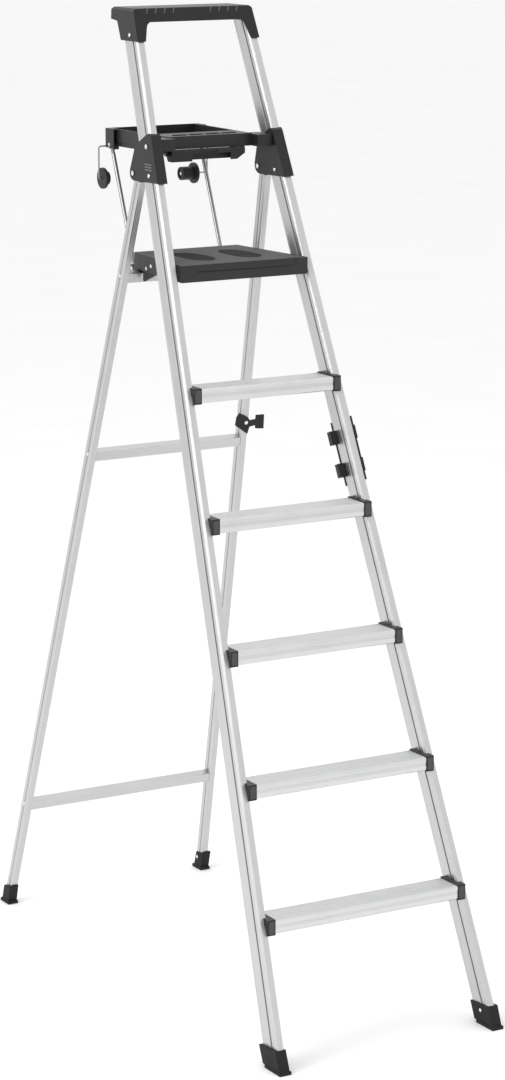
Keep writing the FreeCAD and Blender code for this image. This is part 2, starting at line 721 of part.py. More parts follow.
def leg_hinge_plug(side, side_name):
    """Moulded plug in the top of a leg, with the pivot's ear at its rear edge."""
    name = f"leg_hinge_plug_{side_name}"
    frame = leg_frame(side).moved(0, 0, leg_length)
    wall = cell("leg_wall") + gap
    span = outward(side, -leg_inset - leg_width, -leg_inset)
    depth = (-leg_depth, size(0))
    insert = box(name + "_insert", frame, inset(span, wall), inset(depth, wall), (-cell("plug_length"), 1))
    head = box(name + "_head", frame, inset(span, 0.4), depth, (0.1, cell("leg_end_gap") + 8))
    reach = pin_reach(side, leg_pivot, 18.2, -1.4)
    ear = rod_along_x(name + "_ear", WORLD, reach, *leg_pivot, cell("plug_ear_radius"))
    bore = rod_along_x(name + "_bore", WORLD, pin_reach(side, leg_pivot, 60, 30), *leg_pivot,
                       cell("pin_radius") + cell("running_gap"))
    return node(name, cut(name, fuse(name + "_solid", [insert, head, ear]), [bore]))


def bar_heights():
    """Heights of the centres of the three crossbars; the platform rests on the upper one."""
    under = cell("platform_height") - cell("platform_thickness") - cell("seat_gap")
    behind = leg_depth - 1 - cell("bar_depth")
    upper = under - cell("bar_height") / 2 * cosine(rear_lean) + behind * sine(rear_lean)
    return [cell("lower_bar_height"), cell("middle_bar_height"), upper]


def crossbar(height, name):
    """Tube between the legs, leaning with them."""
    frame = Frame(0, rear_line(height), height, 0, rear_lean)
    half = outer_face(height)
    deep = (-leg_depth + 1, -leg_depth + 1 + cell("bar_depth"))
    tall = (-cell("bar_height") / 2, cell("bar_height") / 2)
    wall = cell("bar_wall")
    solid = box(name + "_outer", frame, (-half, half), deep, tall)
    hollow = box(name + "_hollow", frame, (-half - 1, half + 1), inset(deep, wall), inset(tall, wall))
    along = height * up_plane / cosine(rear_lean)
    legs = [leg_space(f"{name}_end_{side_name}", side, gap, along - 100, along + 100)
            for side_name, side in SIDES.items()]
    beyond = [box(f"{name}_beyond_{side_name}", leg_frame(side), outward(side, -leg_inset - leg_width, 40),
                  (-leg_depth - 10, size(20)), (along - 100, along + 100))
              for side_name, side in SIDES.items()]
    return node(name, cut(name, solid, [hollow] + legs + beyond))


def bar_rivet_shank(name, side, height, radius):
    """Through a leg from its outer face into the end of a crossbar."""
    y = rear_line(height) - leg_depth / 2
    reach = outward(side, -leg_inset - leg_width - 14, -leg_inset + 0.2)
    return rod_along_x(name, side_frame(side), reach, y, height * up_plane, radius)


def bar_rivet(side, height, index):
    """Blind rivet that holds a crossbar's end plug against a leg."""
    name = f"bar_rivet_{'right' if side > 0 else 'left'}_{index}"
    shank = bar_rivet_shank(name + "_shank", side, height, cell("rivet_radius"))
    y = rear_line(height) - leg_depth / 2
    head = rod_along_x(name + "_head", side_frame(side), outward(side, -leg_inset + 0.2, -leg_inset + 1.4), y,
                       height * up_plane, cell("rivet_radius") * 1.8)
    return fuse(name, [shank, head])


def strap_frame():
    """Front face of the right leg at the height of the storage strap."""
    along = cell("strap_height") * up_plane / cosine(rear_lean)
    return leg_frame(1).moved(0, -leg_depth, along)


def storage_strap():
    """Rubber strap with a T-shaped end, held on the front of the right leg."""
    frame = strap_frame()
    thick = cell("strap_thickness")
    outer = -leg_inset
    pad = [(outer - leg_width - 20, 18), (outer - leg_width - 12, 30), (outer - 2, 12), (outer + 2, 4),
           (outer + 20, 4), (outer + 20, 16), (outer + 44, 14), (outer + 46, -26), (outer + 22, -22),
           (outer + 20, -12), (outer + 3, -14), (outer - 2, -34), (outer - leg_width - 22, -4)]
    body = prism("strap_body", frame, "XZ_Plane", [pad], -thick - gap, -gap)
    hole = strap_screw_shank("strap_hole", cell("rivet_radius") + gap)
    return node("storage_strap", cut("strap", body, [hole]))


def strap_screw_shank(name, radius):
    """Along the leg's depth, through the strap and the front wall of the leg."""
    frame = strap_frame()
    item = doc.addObject("Part::Cylinder", name)
    item.setExpression("Radius", size(radius).text)
    item.setExpression("Height", (cell("strap_thickness") + cell("leg_wall") + 4).text)
    start = frame.point(-leg_inset - leg_width / 2, -cell("strap_thickness") - gap, 0)
    return put(item, Frame(*start, frame.pitch, frame.roll - 90))


def strap_screw():
    frame = strap_frame()
    shank = strap_screw_shank("strap_screw_shank", cell("rivet_radius"))
    head = doc.addObject("Part::Cylinder", "strap_screw_head")
    head.Radius = 5
    head.Height = 1.6
    start = frame.point(-leg_inset - leg_width / 2, -cell("strap_thickness") - gap - 1.6, 0)
    put(head, Frame(*start, frame.pitch, frame.roll - 90))
    return node("storage_strap_screw", fuse("strap_screw", [shank, head]))


# Platform

def platform_half(setback):
    """Half width of the platform at a distance behind its pivot."""
    front = inner_face(cell("platform_height")) - cell("platform_clearance")
    share = (setback + cell("platform_lead")) / (cell("platform_lead") + cell("platform_reach"))
    return front - (front - cell("platform_rear_half")) * share


def plan(front_y, rear_y, front_half, rear_half, wall):
    """Tapered plan outline, inset by a wall."""
    wall = size(wall)
    return [(wall - front_half, front_y + wall), (front_half - wall, front_y + wall),
            (rear_half - wall, rear_y - wall), (wall - rear_half, rear_y - wall)]


def platform_pin_reach(side):
    edge = inner_face(platform_pivot[1])
    return outward(side, edge - 24, edge + cell("rail_wall") + 2)


def platform():
    """Moulded deck: a top plate with aprons and ribs, hinge bosses and two pairs of rod ears."""
    frame = Frame(0, platform_pivot[0], cell("platform_height"))
    thick = cell("platform_thickness")
    wall = cell("platform_wall")
    front = -cell("platform_lead")
    rear = cell("platform_reach")
    halves = (platform_half(front), cell("platform_rear_half"))
    outer = prism("platform_outer", frame, "XY_Plane", [plan(front, rear, *halves, 0)], -thick, 0)
    hollow = prism("platform_hollow", frame, "XY_Plane", [plan(front, rear, *halves, wall)], -thick - 1, -wall)
    shell = cut("platform_shell", outer, [hollow])
    ribs = [box(f"platform_rib_{k}", frame, (x - 1.2, x + 1.2), (front + 2, rear - 2), (-thick + 6, -wall + 1))
            for k, x in enumerate((-96, -32, 32, 96))]
    ribs += [box(f"platform_cross_rib_{k}", frame, (-120, 120), (y - 1.2, y + 1.2), (-thick + 8, -wall + 1))
             for k, y in enumerate((52, 130, 208))]
    drop = platform_pivot[1] - cell("platform_height")
    bosses = [rod_along_x(f"platform_boss_{name}", frame,
                          outward(side, inner_face(platform_pivot[1]) - 20, platform_half(0) - 1), 0, drop, 9)
              for name, side in SIDES.items()]
    ears = []
    for name, side in SIDES.items():
        for k, low in enumerate(rod_ear_offsets()):
            ears.append(box(f"platform_ear_{name}_{k}", frame, outward(side, low, low + cell("ear_wall")),
                            (rear - wall, cell("rod_reach") + 9),
                            (drop - cell("rod_drop") - 8, drop - cell("rod_drop") + 9)))
    solid = fuse("platform_solid", [shell] + ribs + bosses + ears)
    cuts = []
    radius = cell("pin_radius") + cell("running_gap")
    for name, side in SIDES.items():
        cuts.append(rod_along_x(f"platform_bore_{name}", WORLD, platform_pin_reach(side), *platform_pivot, radius))
        cuts.append(rod_along_x(f"platform_rod_bore_{name}", WORLD, rod_pin_reach(side), *lower_rod_pin,
                                cell("rod_pin_radius") + gap))
        cuts += [hook_rivet_shank(f"platform_hook_hole_{name}_{k}", side, k, cell("rivet_radius") + gap)
                 for k in range(2)]
    return node("platform", cut("platform_cut", solid, cuts))


def rod_ear_offsets():
    """Inner faces of the two ears that hold a link rod's lower eye."""
    half = cell("rod_eye_width") / 2 + 0.6
    return (cell("rod_half_spacing") - half - cell("ear_wall"), cell("rod_half_spacing") + half)


def rod_pin_reach(side):
    low, high = rod_ear_offsets()
    return outward(side, low - 0.2, high + cell("ear_wall") + 0.2)


def lower_rod_pin_solid(side):
    """Headed pin through both ears and the rod's lower eye."""
    name = f"lower_rod_pin_{'right' if side > 0 else 'left'}"
    reach = rod_pin_reach(side)
    shank = rod_along_x(name + "_shank", WORLD, reach, *lower_rod_pin, cell("rod_pin_radius"))
    ends = [(reach[0] - 1.6, reach[0]), (reach[1], reach[1] + 1.6)]
    heads = [rod_along_x(f"{name}_head_{k}", WORLD, end, *lower_rod_pin, 5) for k, end in enumerate(ends)]
    return fuse(name, [shank] + heads)


def platform_pin(side):
    """Pin from inside the platform's boss into the rail."""
    name = f"platform_pin_{'right' if side > 0 else 'left'}"
    reach = platform_pin_reach(side)
    shank = rod_along_x(name + "_shank", WORLD, reach, *platform_pivot, cell("pin_radius"))
    inner = inner_face(platform_pivot[1]) - 24
    head = rod_along_x(name + "_head", WORLD, outward(side, inner - 2, inner), *platform_pivot, 6)
    return fuse(name, [shank, head])


def hook_plane():
    """X of the inner side of a platform hook."""
    return platform_half(cell("hook_setback")) - cell("platform_wall") - cell("hook_wall") - 0.4


def platform_hook(side, side_name):
    """Plate riveted inside the platform's apron that hangs in front of the upper crossbar."""
    name = f"platform_hook_{side_name}"
    under = -cell("platform_thickness")
    rear = cell("hook_setback")
    front = rear - cell("hook_length")
    drop = cell("hook_drop")
    outline = [(front, under + 26), (front, under), (rear - 5, under - drop), (rear, under - drop + 3),
               (rear, under + 26)]
    frame = Frame(0, platform_pivot[0], cell("platform_height"))
    plate = prism(name + "_plate", frame, "YZ_Plane", [outline],
                  *outward(side, hook_plane(), hook_plane() + cell("hook_wall")))
    holes = [hook_rivet_shank(f"{name}_hole_{k}", side, k, cell("rivet_radius") + gap) for k in range(2)]
    return node(name, cut(name, plate, holes))


def hook_rivet_shank(name, side, k, radius):
    frame = Frame(0, platform_pivot[0], cell("platform_height"))
    y = cell("hook_setback") - 30 - 30 * k
    reach = outward(side, hook_plane() - 0.2, platform_half(y) + 0.4)
    return rod_along_x(name, frame, reach, y, -cell("platform_thickness") + 9 + 9 * k, radius)


def hook_rivet(side, k):
    """Rivet through the apron and the hook."""
    name = f"hook_rivet_{'right' if side > 0 else 'left'}_{k + 1}"
    frame = Frame(0, platform_pivot[0], cell("platform_height"))
    y = cell("hook_setback") - 30 - 30 * k
    z = -cell("platform_thickness") + 9 + 9 * k
    shank = hook_rivet_shank(name + "_shank", side, k, cell("rivet_radius"))
    edge = platform_half(y) + 0.4
    heads = [rod_along_x(name + "_outer", frame, outward(side, edge, edge + 1.6), y, z, 4.6),
             rod_along_x(name + "_inner", frame, outward(side, hook_plane() - 1.8, hook_plane() - 0.2), y, z, 4.6)]
    return fuse(name, [shank] + heads)


# Tray

def tray():
    """Moulded tool tray: a ledge with tool slots in front of a deep bin, hinge ears and rear lugs."""
    frame = Frame(0, tray_pivot[0], cell("tray_height"))
    tall = cell("tray_apron")
    wall = cell("tray_wall")
    front = cell("tray_setback")
    rear = cell("tray_reach")
    halves = (cell("tray_front_half"), cell("tray_rear_half"))
    outer = prism("tray_outer", frame, "XY_Plane", [plan(front, rear, *halves, 0)], -tall, 0)
    ledge = front + cell("ledge_depth")
    bin_space = prism("tray_bin", frame, "XY_Plane", [plan(ledge, rear, *halves, wall)], -cell("bin_depth"), 1)
    under = prism("tray_under", frame, "XY_Plane", [plan(front, ledge - wall, *halves, wall)], -tall - 1, -wall)
    drop = tray_pivot[1] - cell("tray_height")
    ear_half = outer_face(cell("tray_height")) - cell("bracket_slot") - cell("bracket_inner_wall") - 1.6
    extras = []
    cuts = [bin_space, under]
    for name, side in SIDES.items():
        extras.append(box(f"tray_ear_{name}", frame, outward(side, cell("tray_front_half") - 2, ear_half),
                          (-15, cell("tray_ear_length")), (-tall, -2)))
        extras.append(box(f"tray_lug_{name}", frame,
                          outward(side, cell("tray_rear_half") - 12, cell("tray_rear_half") - 0.4),
                          (cell("rod_reach") - 9, rear - 0.2), (-tall - 21, -tall + 1)))
        extras += tray_corner(name, side, frame)
        extras.append(tray_skirt(name, side, frame))
    extras.append(latch_lug("tray_latch_lug_left", -1, cell("latch_left")))
    extras.append(latch_lug("tray_latch_lug_right", 1, cell("latch_right")))
    slots = []
    pitch = cell("slot_length") + 12
    for k in range(4):
        centre = pitch * (k - 1.5)
        reach = cell("slot_length") / 2
        slots.append(box(f"tray_slot_{k}", frame, (centre - reach, centre + reach),
                         (front + 26, front + 26 + cell("slot_width")), (-wall - 1, 1)))
    shell = fuse("tray_solid", [cut("tray_shell", outer, cuts + slots)] + extras)
    bores = []
    radius = cell("pin_radius") + cell("running_gap")
    for name, side in SIDES.items():
        bores.append(rod_along_x(f"tray_bore_{name}", WORLD, tray_pin_reach(side), *tray_pivot, radius))
        bores.append(rod_along_x(f"tray_rod_bore_{name}", WORLD, upper_pin_reach(side), *upper_rod_pin,
                                 cell("rod_pin_radius") + gap))
        bores.append(rod_along_x(f"tray_wire_bore_{name}", WORLD,
                                 outward(side, cell("tray_rear_half") - 13, cover_plane() + 5),
                                 *wire_axis(), cell("wire_radius") + cell("running_gap")))
    bores.append(rod_along_x("tray_latch_bore", WORLD, latch_pin_reach(), *latch_axis(),
                             cell("latch_pin_radius") + gap))
    return node("tray", cut("tray_cut", shell, bores))


def cover_plane():
    """X of the inner face of the cheek that covers a link rod's upper eye."""
    return cell("rod_half_spacing") + cell("rod_eye_width") / 2 + 0.6


def tray_corner(name, side, frame):
    """Cheek, roof and rear wall round the upper eye of a link rod, open below and in front."""
    rear = cell("tray_reach")
    cover = cell("corner_cover")
    low = -cell("tray_apron") - 17
    plane = cover_plane()
    start = cell("rod_reach") - cell("rod_flat_length") + 2
    root = cell("tray_rear_half") - 6
    return [box(f"tray_cheek_{name}", frame, outward(side, plane, plane + cover), (start, rear), (low, size(0))),
            box(f"tray_roof_{name}", frame, outward(side, root, plane + 1), (start, rear), (-cover, size(0))),
            box(f"tray_back_{name}", frame, outward(side, root, plane + 1), (rear - cover, rear),
                (low, size(0)))]


def tray_half(y):
    """Half width of the tray at a distance behind its pivot."""
    share = (y - cell("tray_setback")) / (cell("tray_reach") - cell("tray_setback"))
    return cell("tray_front_half") + (cell("tray_rear_half") - cell("tray_front_half")) * share


def tray_skirt(name, side, frame):
    """Deeper part of a side wall, set in so that the link rod passes outside it."""
    start = cell("tray_ear_length") - 2
    end = cell("rod_reach") - 6
    wall = cell("tray_wall")
    loop = []
    for y, extra in ((start, 0), (end, 0), (end, wall), (start, wall)):
        loop.append((side * (tray_half(y) - cell("tray_skirt_inset") - extra), y))
    tall = cell("tray_apron")
    return prism(f"tray_skirt_{name}", frame, "XY_Plane", [loop], -tall - cell("tray_skirt"), -tall + 1)


def tray_pin_reach(side):
    return pin_reach(side, tray_pivot, 52, cell("bracket_wall") + 0.7)


def upper_pin_reach(side):
    return outward(side, cell("tray_rear_half") - 12.5, cover_plane() + cell("corner_cover") + 0.2)


def upper_rod_pin_solid(side):
    """Pin from the tray's rear lug through the rod's upper eye."""
    name = f"upper_rod_pin_{'right' if side > 0 else 'left'}"
    shank = rod_along_x(name + "_shank", WORLD, upper_pin_reach(side), *upper_rod_pin, cell("rod_pin_radius"))
    edge = cover_plane() + cell("corner_cover") + 0.2
    inner = cell("tray_rear_half") - 12.5
    heads = [rod_along_x(name + "_head", WORLD, outward(side, edge, edge + 1.6), *upper_rod_pin, 5),
             rod_along_x(name + "_end", WORLD, outward(side, inner - 1.4, inner), *upper_rod_pin, 5)]
    return fuse(name, [shank] + heads)


def link_rod(side, side_name):
    """Round rod with an eye at each end; it keeps the tray parallel to the platform."""
    name = f"link_rod_{side_name}"
    run = tray_pivot[0] - platform_pivot[0]
    rise = tray_pivot[1] - platform_pivot[1]
    lean = Size(math.degrees(math.atan2(run.value, rise.value)), f"atan(({run.text}) / ({rise.text}))")
    frame = Frame(side * cell("rod_half_spacing"), *lower_rod_pin, 0, -lean)
    shaft = rod_along_z(name + "_shaft", frame, 0, 0, (0, rise / cosine(lean)), cell("rod_radius"))
    half = cell("rod_eye_width") / 2
    flat = (-half, half)
    eyes = [rod_along_x(f"{name}_eye_{k}", Frame(side * cell("rod_half_spacing"), *place), flat, 0, 0,
                        cell("rod_eye_radius")) for k, place in enumerate((lower_rod_pin, upper_rod_pin))]
    trims = []
    flat_end = cell("rod_flat_length")
    beyond = cell("rod_eye_radius") * 2
    for k, place in enumerate((0, rise / cosine(lean))):
        for label, low, high in (("inner", -beyond, -half), ("outer", half, beyond)):
            trims.append(box(f"{name}_trim_{label}_{k}", frame, (low, high), (-beyond, beyond),
                             (place - flat_end, place + flat_end)))
    upper = rod_along_x(name + "_upper_bore", WORLD, upper_pin_reach(side), *upper_rod_pin,
                        cell("rod_pin_radius") + cell("running_gap"))
    lower = rod_along_x(name + "_lower_bore", WORLD, rod_pin_reach(side), *lower_rod_pin,
                        cell("rod_pin_radius") + cell("seat_gap"))
    return node(name, cut(name, fuse(name + "_solid", [shaft] + eyes), trims + [upper, lower]))


# Release latch

def latch_axis():
    """Y and Z of the latch's hinge."""
    return tray_pivot[0] + 21, cell("tray_height") - cell("tray_apron") - 8


def latch_lug(name, side, reach):
    frame = Frame(0, tray_pivot[0], cell("tray_height"))
    tall = cell("tray_apron")
    span = outward(side, reach + 1, reach + 1 + cell("latch_lug"))
    return box(name, frame, span, (17.2, 29), (-tall - 16, -tall + 1))


def latch_pin_reach():
    over = 1 + cell("latch_lug") + 0.2
    return (-cell("latch_left") - over - 10, cell("latch_right") + over)


def latch_handle():
    """Moulded squeeze handle: a hollow bar with a finger notch in its front."""
    frame = Frame(0, tray_pivot[0], cell("tray_height") - cell("tray_apron") - 1)
    left, right = -cell("latch_left"), cell("latch_right")
    deep = cell("latch_depth")
    drop = cell("latch_drop")
    wall = cell("latch_wall")
    outline = [(0, -2), (0, -drop), (deep - 8, -drop), (deep, -drop + 12), (deep, -6), (deep - 8, 0), (2, 0)]
    bar = prism("latch_bar", frame, "YZ_Plane", [outline], left, right)
    hollow = box("latch_hollow", frame, (left + wall, right - 24), (wall, deep - wall - 4), (-drop - 1, -wall))
    notch = box("latch_notch", frame, (-60, 48), (-1, wall + 1), (-drop - 1, -drop + 17))
    slot = box("latch_slot", frame, (-34, 8), (-1, 2), (-9, -3))
    triangle = [(right + 1, -13), (right + 1, -drop - 1), (right - 24, -drop - 1)]
    corner = prism("latch_corner", frame, "XZ_Plane", [triangle], -1, deep + 1)
    bore = rod_along_x("latch_bore", WORLD, latch_pin_reach(), *latch_axis(),
                       cell("latch_pin_radius") + cell("running_gap"))
    return node("latch_handle", cut("latch", bar, [hollow, notch, slot, corner, bore]))


def latch_pin():
    low, high = latch_pin_reach()
    shank = rod_along_x("latch_pin_shank", WORLD, (low, high), *latch_axis(), cell("latch_pin_radius"))
    heads = [rod_along_x("latch_pin_head", WORLD, (low - 2, low), *latch_axis(), 5),
             rod_along_x("latch_pin_end", WORLD, (high, high + 1.6), *latch_axis(), 4)]
    return node("latch_pin", fuse("latch_pin_solid", [shank] + heads))


def latch_spring():
    """Torsion spring round the pin, as a sleeve of its outer shape."""
    low = latch_pin_reach()[0] + 0.4
    outer = rod_along_x("latch_spring_outer", WORLD, (low, low + 9), *latch_axis(), 4.4)
    inner = rod_along_x("latch_spring_inner", WORLD, (low - 1, low + 10), *latch_axis(), 2.9)
    return node("latch_spring", cut("latch_spring_solid", outer, [inner]))


# Towel holder

def wire_axis():
    """Y and Z of the axis on which a wire arm swings."""
    return tray_pivot[0] + cell("tray_reach") - 6, cell("wire_height")


def plug_axis():
    return wire_axis()[0], cell("wire_height") - cell("wire_fall")


def flange_reach(side):
    return cell("long_flange_reach") if side > 0 else cell("short_flange_reach")


def core_length(side):
    return cell("long_core") if side > 0 else cell("short_core")


def quarter_bend(name, side, place, direction):
    """A quarter turn of wire from the outward direction to up (+1) or down (-1)."""
    bend = doc.addObject("Part::Torus", name)
    bend.setExpression("Radius1", cell("wire_bend").text)
    bend.setExpression("Radius2", cell("wire_radius").text)
    bend.Angle3 = 90
    return put(bend, Frame(*place, 0 if side > 0 else 180, 90 * direction * side))


def towel_arm(side, side_name):
    """Bent wire from the tray's rear lug, down to the plug that holds one end of a roll."""
    name = f"towel_arm_{side_name}"
    y, top = wire_axis()
    low = plug_axis()[1]
    radius = cell("wire_radius")
    bend = cell("wire_bend")
    reach = cell("wire_reach")
    end = flange_reach(side) - core_length(side) + 6
    runs = [rod_along_x(name + "_top", WORLD, outward(side, cell("tray_rear_half") - 16, reach - bend), y, top, radius),
            rod_along_z(name + "_fall", WORLD, side * reach, y, (low + bend, top - bend), radius),
            rod_along_x(name + "_end", WORLD, outward(side, end, reach - bend), y, low, radius)]
    bends = [quarter_bend(name + "_upper_bend", side, (side * (reach - bend), y, top - bend), 1),
             quarter_bend(name + "_lower_bend", side, (side * (reach - bend), y, low + bend), -1)]
    stop = rod_along_x(name + "_stop", WORLD,
                       outward(side, cell("tray_rear_half") - 16, cell("tray_rear_half") - 13), y, top, radius * 2)
    return node(name, fuse(name + "_wire", runs + bends + [stop]))


def towel_plug(side, side_name):
    """Flanged plug that turns on the end of a wire arm."""
    name = f"towel_plug_{side_name}"
    outer = flange_reach(side)
    inner = outer - core_length(side)
    y, z = plug_axis()
    flange = rod_along_x(name + "_flange", WORLD, outward(side, outer - cell("flange_thickness"), outer), y, z,
                         cell("flange_radius"))
    core = rod_along_x(name + "_core", WORLD, outward(side, inner, outer - 1), y, z, cell("core_radius"))
    recess = rod_along_x(name + "_recess", WORLD, outward(side, inner - 1, inner + 3), y, z, cell("core_radius") - 5)
    bore = rod_along_x(name + "_bore", WORLD, outward(side, inner + 5.6, outer + 1), y, z,
                       cell("wire_radius") + cell("running_gap"))
    return node(name, cut(name, fuse(name + "_solid", [flange, core]), [recess, bore]))


def plug_screw(side):
    """Cap screw in the recess at the end of a plug."""
    name = f"plug_screw_{'right' if side > 0 else 'left'}"
    inner = flange_reach(side) - core_length(side)
    y, z = plug_axis()
    head = rod_along_x(name + "_head", WORLD, outward(side, inner + 0.6, inner + 3), y, z, cell("plug_screw_radius"))
    socket = rod_along_x(name + "_socket", WORLD, outward(side, inner, inner + 1.6), y, z, 1.8)
    return node(name, cut(name, head, [socket]))


# Assembly

def build_front_frame():
    for name, side in SIDES.items():
        front_rail(side, f"front_rail_{name}")
        hinge_bracket(side, name)
        front_foot(side, name)
        pivot_pin(f"leg_pivot_pin_{name}", side, leg_pivot, 24.6, cell("bracket_wall") + 0.7)
        pivot_pin(f"tray_pivot_pin_{name}", side, tray_pivot, 50, cell("bracket_wall") + 0.7, inner_head=False)
    both = list(SIDES.values())
    for index in range(STEPS):
        tread(index)
        node(f"step_end_caps_{index + 1}", group(f"end_cap_pair_{index + 1}",
                                                 [step_end_cap(index, side) for side in both]))
    node("platform_pivot_pins", group("platform_pin_pair", [platform_pin(side) for side in both]))
    top_cap()
    catch_plate()
    node("step_rivets", group("all_step_rivets", [step_rivet(index, side, k) for index in range(STEPS)
                                                  for side in both for k in range(2)]))
    node("front_foot_rivets", group("all_front_foot_rivets", [foot_rivet(side, "front") for side in both]))
    node("cap_rivets", group("all_cap_rivets", [cap_rivet(side) for side in both]))
    node("bracket_rivets", group("all_bracket_rivets", [bracket_rivet(side) for side in both]))
    node("catch_screws", group("all_catch_screws", [catch_screw(k) for k in range(2)]))


def build_rear_frame():
    for name, side in SIDES.items():
        rear_leg(side, name)
        leg_hinge_plug(side, name)
        rear_foot(side, name)
    for height, name in zip(bar_heights(), ("lower", "middle", "upper")):
        crossbar(height, f"rear_crossbar_{name}")
    both = list(SIDES.values())
    node("crossbar_rivets", group("all_bar_rivets", [bar_rivet(side, height, k) for side in both
                                                     for k, height in enumerate(bar_heights())]))
    node("rear_foot_rivets", group("all_rear_foot_rivets", [foot_rivet(side, "rear") for side in both]))
    storage_strap()
    strap_screw()


def build_platform_and_tray():
    platform()
    tray()
    latch_handle()
    latch_pin()
    latch_spring()
    for name, side in SIDES.items():
        platform_hook(side, name)
        link_rod(side, name)
        towel_arm(side, name)
        towel_plug(side, name)
        plug_screw(side)
    both = list(SIDES.values())
    node("platform_hook_rivets", group("all_hook_rivets", [hook_rivet(side, k) for side in both for k in range(2)]))
    node("lower_rod_pins", group("all_lower_rod_pins", [lower_rod_pin_solid(side) for side in both]))
    node("upper_rod_pins", group("all_upper_rod_pins", [upper_rod_pin_solid(side) for side in both]))


def check_document():
    """Stops if any object failed or any node's shape is missing or invalid."""
    for item in doc.Objects:
        if "Invalid" in item.State or "Error" in item.State:
            raise RuntimeError(f"{item.Name} failed: {item.State}")
    for name, item in NODES.items():
        if item.Shape.isNull() or not item.Shape.isValid() or not item.Shape.Solids:
            raise RuntimeError(f"{name} has no valid solid")


build_front_frame()
build_rear_frame()
build_platform_and_tray()
doc.recompute()
check_document()
os.makedirs("parts", exist_ok=True)
for name, item in NODES.items():
    item.Shape.exportStep(f"parts/{name}.step")
    bounds = item.Shape.BoundBox
    print(f"{name}: {len(item.Shape.Solids)} solids, {item.Shape.Volume:.0f} mm3, "
          f"x {bounds.XMin:.1f} {bounds.XMax:.1f} y {bounds.YMin:.1f} {bounds.YMax:.1f} "
          f"z {bounds.ZMin:.1f} {bounds.ZMax:.1f}")
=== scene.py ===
# %% [markdown]
# # A platform step ladder
# This lesson dresses a folding aluminium step ladder. The CAD model gives every part its place and
# its movement. Blender adds what makes each part look real: reeding on the extrusions, ribs on the
# treads, moulded grain on the plastic and domed heads on the rivets. Lengths are in metres, +Z is up,
# the climber stands on the -Y side and +X is the ladder's right-hand side.

# %% Load the CAD model
import math

import bmesh
import bpy
from mathutils import Matrix, Vector


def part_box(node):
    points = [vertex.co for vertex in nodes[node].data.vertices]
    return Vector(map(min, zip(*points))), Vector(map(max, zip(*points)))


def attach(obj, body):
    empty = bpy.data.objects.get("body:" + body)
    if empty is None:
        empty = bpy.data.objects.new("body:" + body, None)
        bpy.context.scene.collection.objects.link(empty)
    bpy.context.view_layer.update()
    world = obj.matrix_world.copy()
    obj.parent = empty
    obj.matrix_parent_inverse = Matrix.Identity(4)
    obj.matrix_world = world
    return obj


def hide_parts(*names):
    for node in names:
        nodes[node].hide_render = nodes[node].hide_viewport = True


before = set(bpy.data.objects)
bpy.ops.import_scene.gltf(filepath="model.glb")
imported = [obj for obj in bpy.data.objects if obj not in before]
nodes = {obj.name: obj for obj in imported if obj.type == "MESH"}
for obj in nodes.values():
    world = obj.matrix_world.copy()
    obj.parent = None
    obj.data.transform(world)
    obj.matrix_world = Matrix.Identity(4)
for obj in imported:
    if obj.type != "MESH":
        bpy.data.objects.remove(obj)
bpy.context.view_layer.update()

MM = 0.001
SIDES = {"left": -1, "right": 1}
print("parts in the CAD model:", len(nodes))

# %% [markdown]
# ## Camera and light
# A ladder is tall and thin, so a long lens from several metres away keeps its lines nearly parallel,
# as a catalogue picture does. One large soft light on the left gives the bright side of each tube, a
# weaker one in front fills the rest, and a pale floor throws light up under the plastic.

# %% The camera
CAMERA_PLACE = (-3.9533, -6.9053, 2.8249)
CAMERA_TILT = 77.74
CAMERA_TURN = -30.07
CAMERA_LENS = 109.7
lens = bpy.data.cameras.new("camera")
lens.lens = CAMERA_LENS
camera = bpy.data.objects.new("camera", lens)
camera.location = CAMERA_PLACE
camera.rotation_euler = (math.radians(CAMERA_TILT), 0, math.radians(CAMERA_TURN))
bpy.context.scene.collection.objects.link(camera)
bpy.context.scene.camera = camera
print("camera stands", round(Vector(CAMERA_PLACE).length, 2), "m from the middle of the feet")


# %% Soft lights
def softbox(name, place, aim, size, power):
    """A square area light at a place, turned towards a point."""
    lamp = bpy.data.lights.new(name, "AREA")
    lamp.size = size
    lamp.energy = power
    item = bpy.data.objects.new(name, lamp)
    item.location = place
    item.rotation_euler = (Vector(aim) - Vector(place)).to_track_quat("-Z", "Y").to_euler()
    bpy.context.scene.collection.objects.link(item)
    return item


LADDER_MIDDLE = (0, 0, 1.2)
softbox("key_softbox", (-6.0, -0.5, 3.6), LADDER_MIDDLE, 3.2, 210)
softbox("front_softbox", (0.5, -7.0, 3.0), LADDER_MIDDLE, 2.5, 35)
softbox("top_softbox", (0.5, 1.0, 6.5), LADDER_MIDDLE, 4.0, 60)
world = bpy.context.scene.world or bpy.data.worlds.new("studio")
bpy.context.scene.world = world
world.use_nodes = True
background = world.node_tree.nodes["Background"]
background.inputs["Color"].default_value = (1.0, 1.0, 1.0, 1.0)
background.inputs["Strength"].default_value = 1.06
bpy.context.scene.view_settings.view_transform = "Standard"

# %% [markdown]
# ## Shader arithmetic
# A finish is easier to read as a formula than as a web of nodes. `Wire` stands for one output socket,
# and adding or multiplying wires adds Math nodes. `Finish` starts a material, adds any other node with
# one method, and connects the result to the Principled shader.


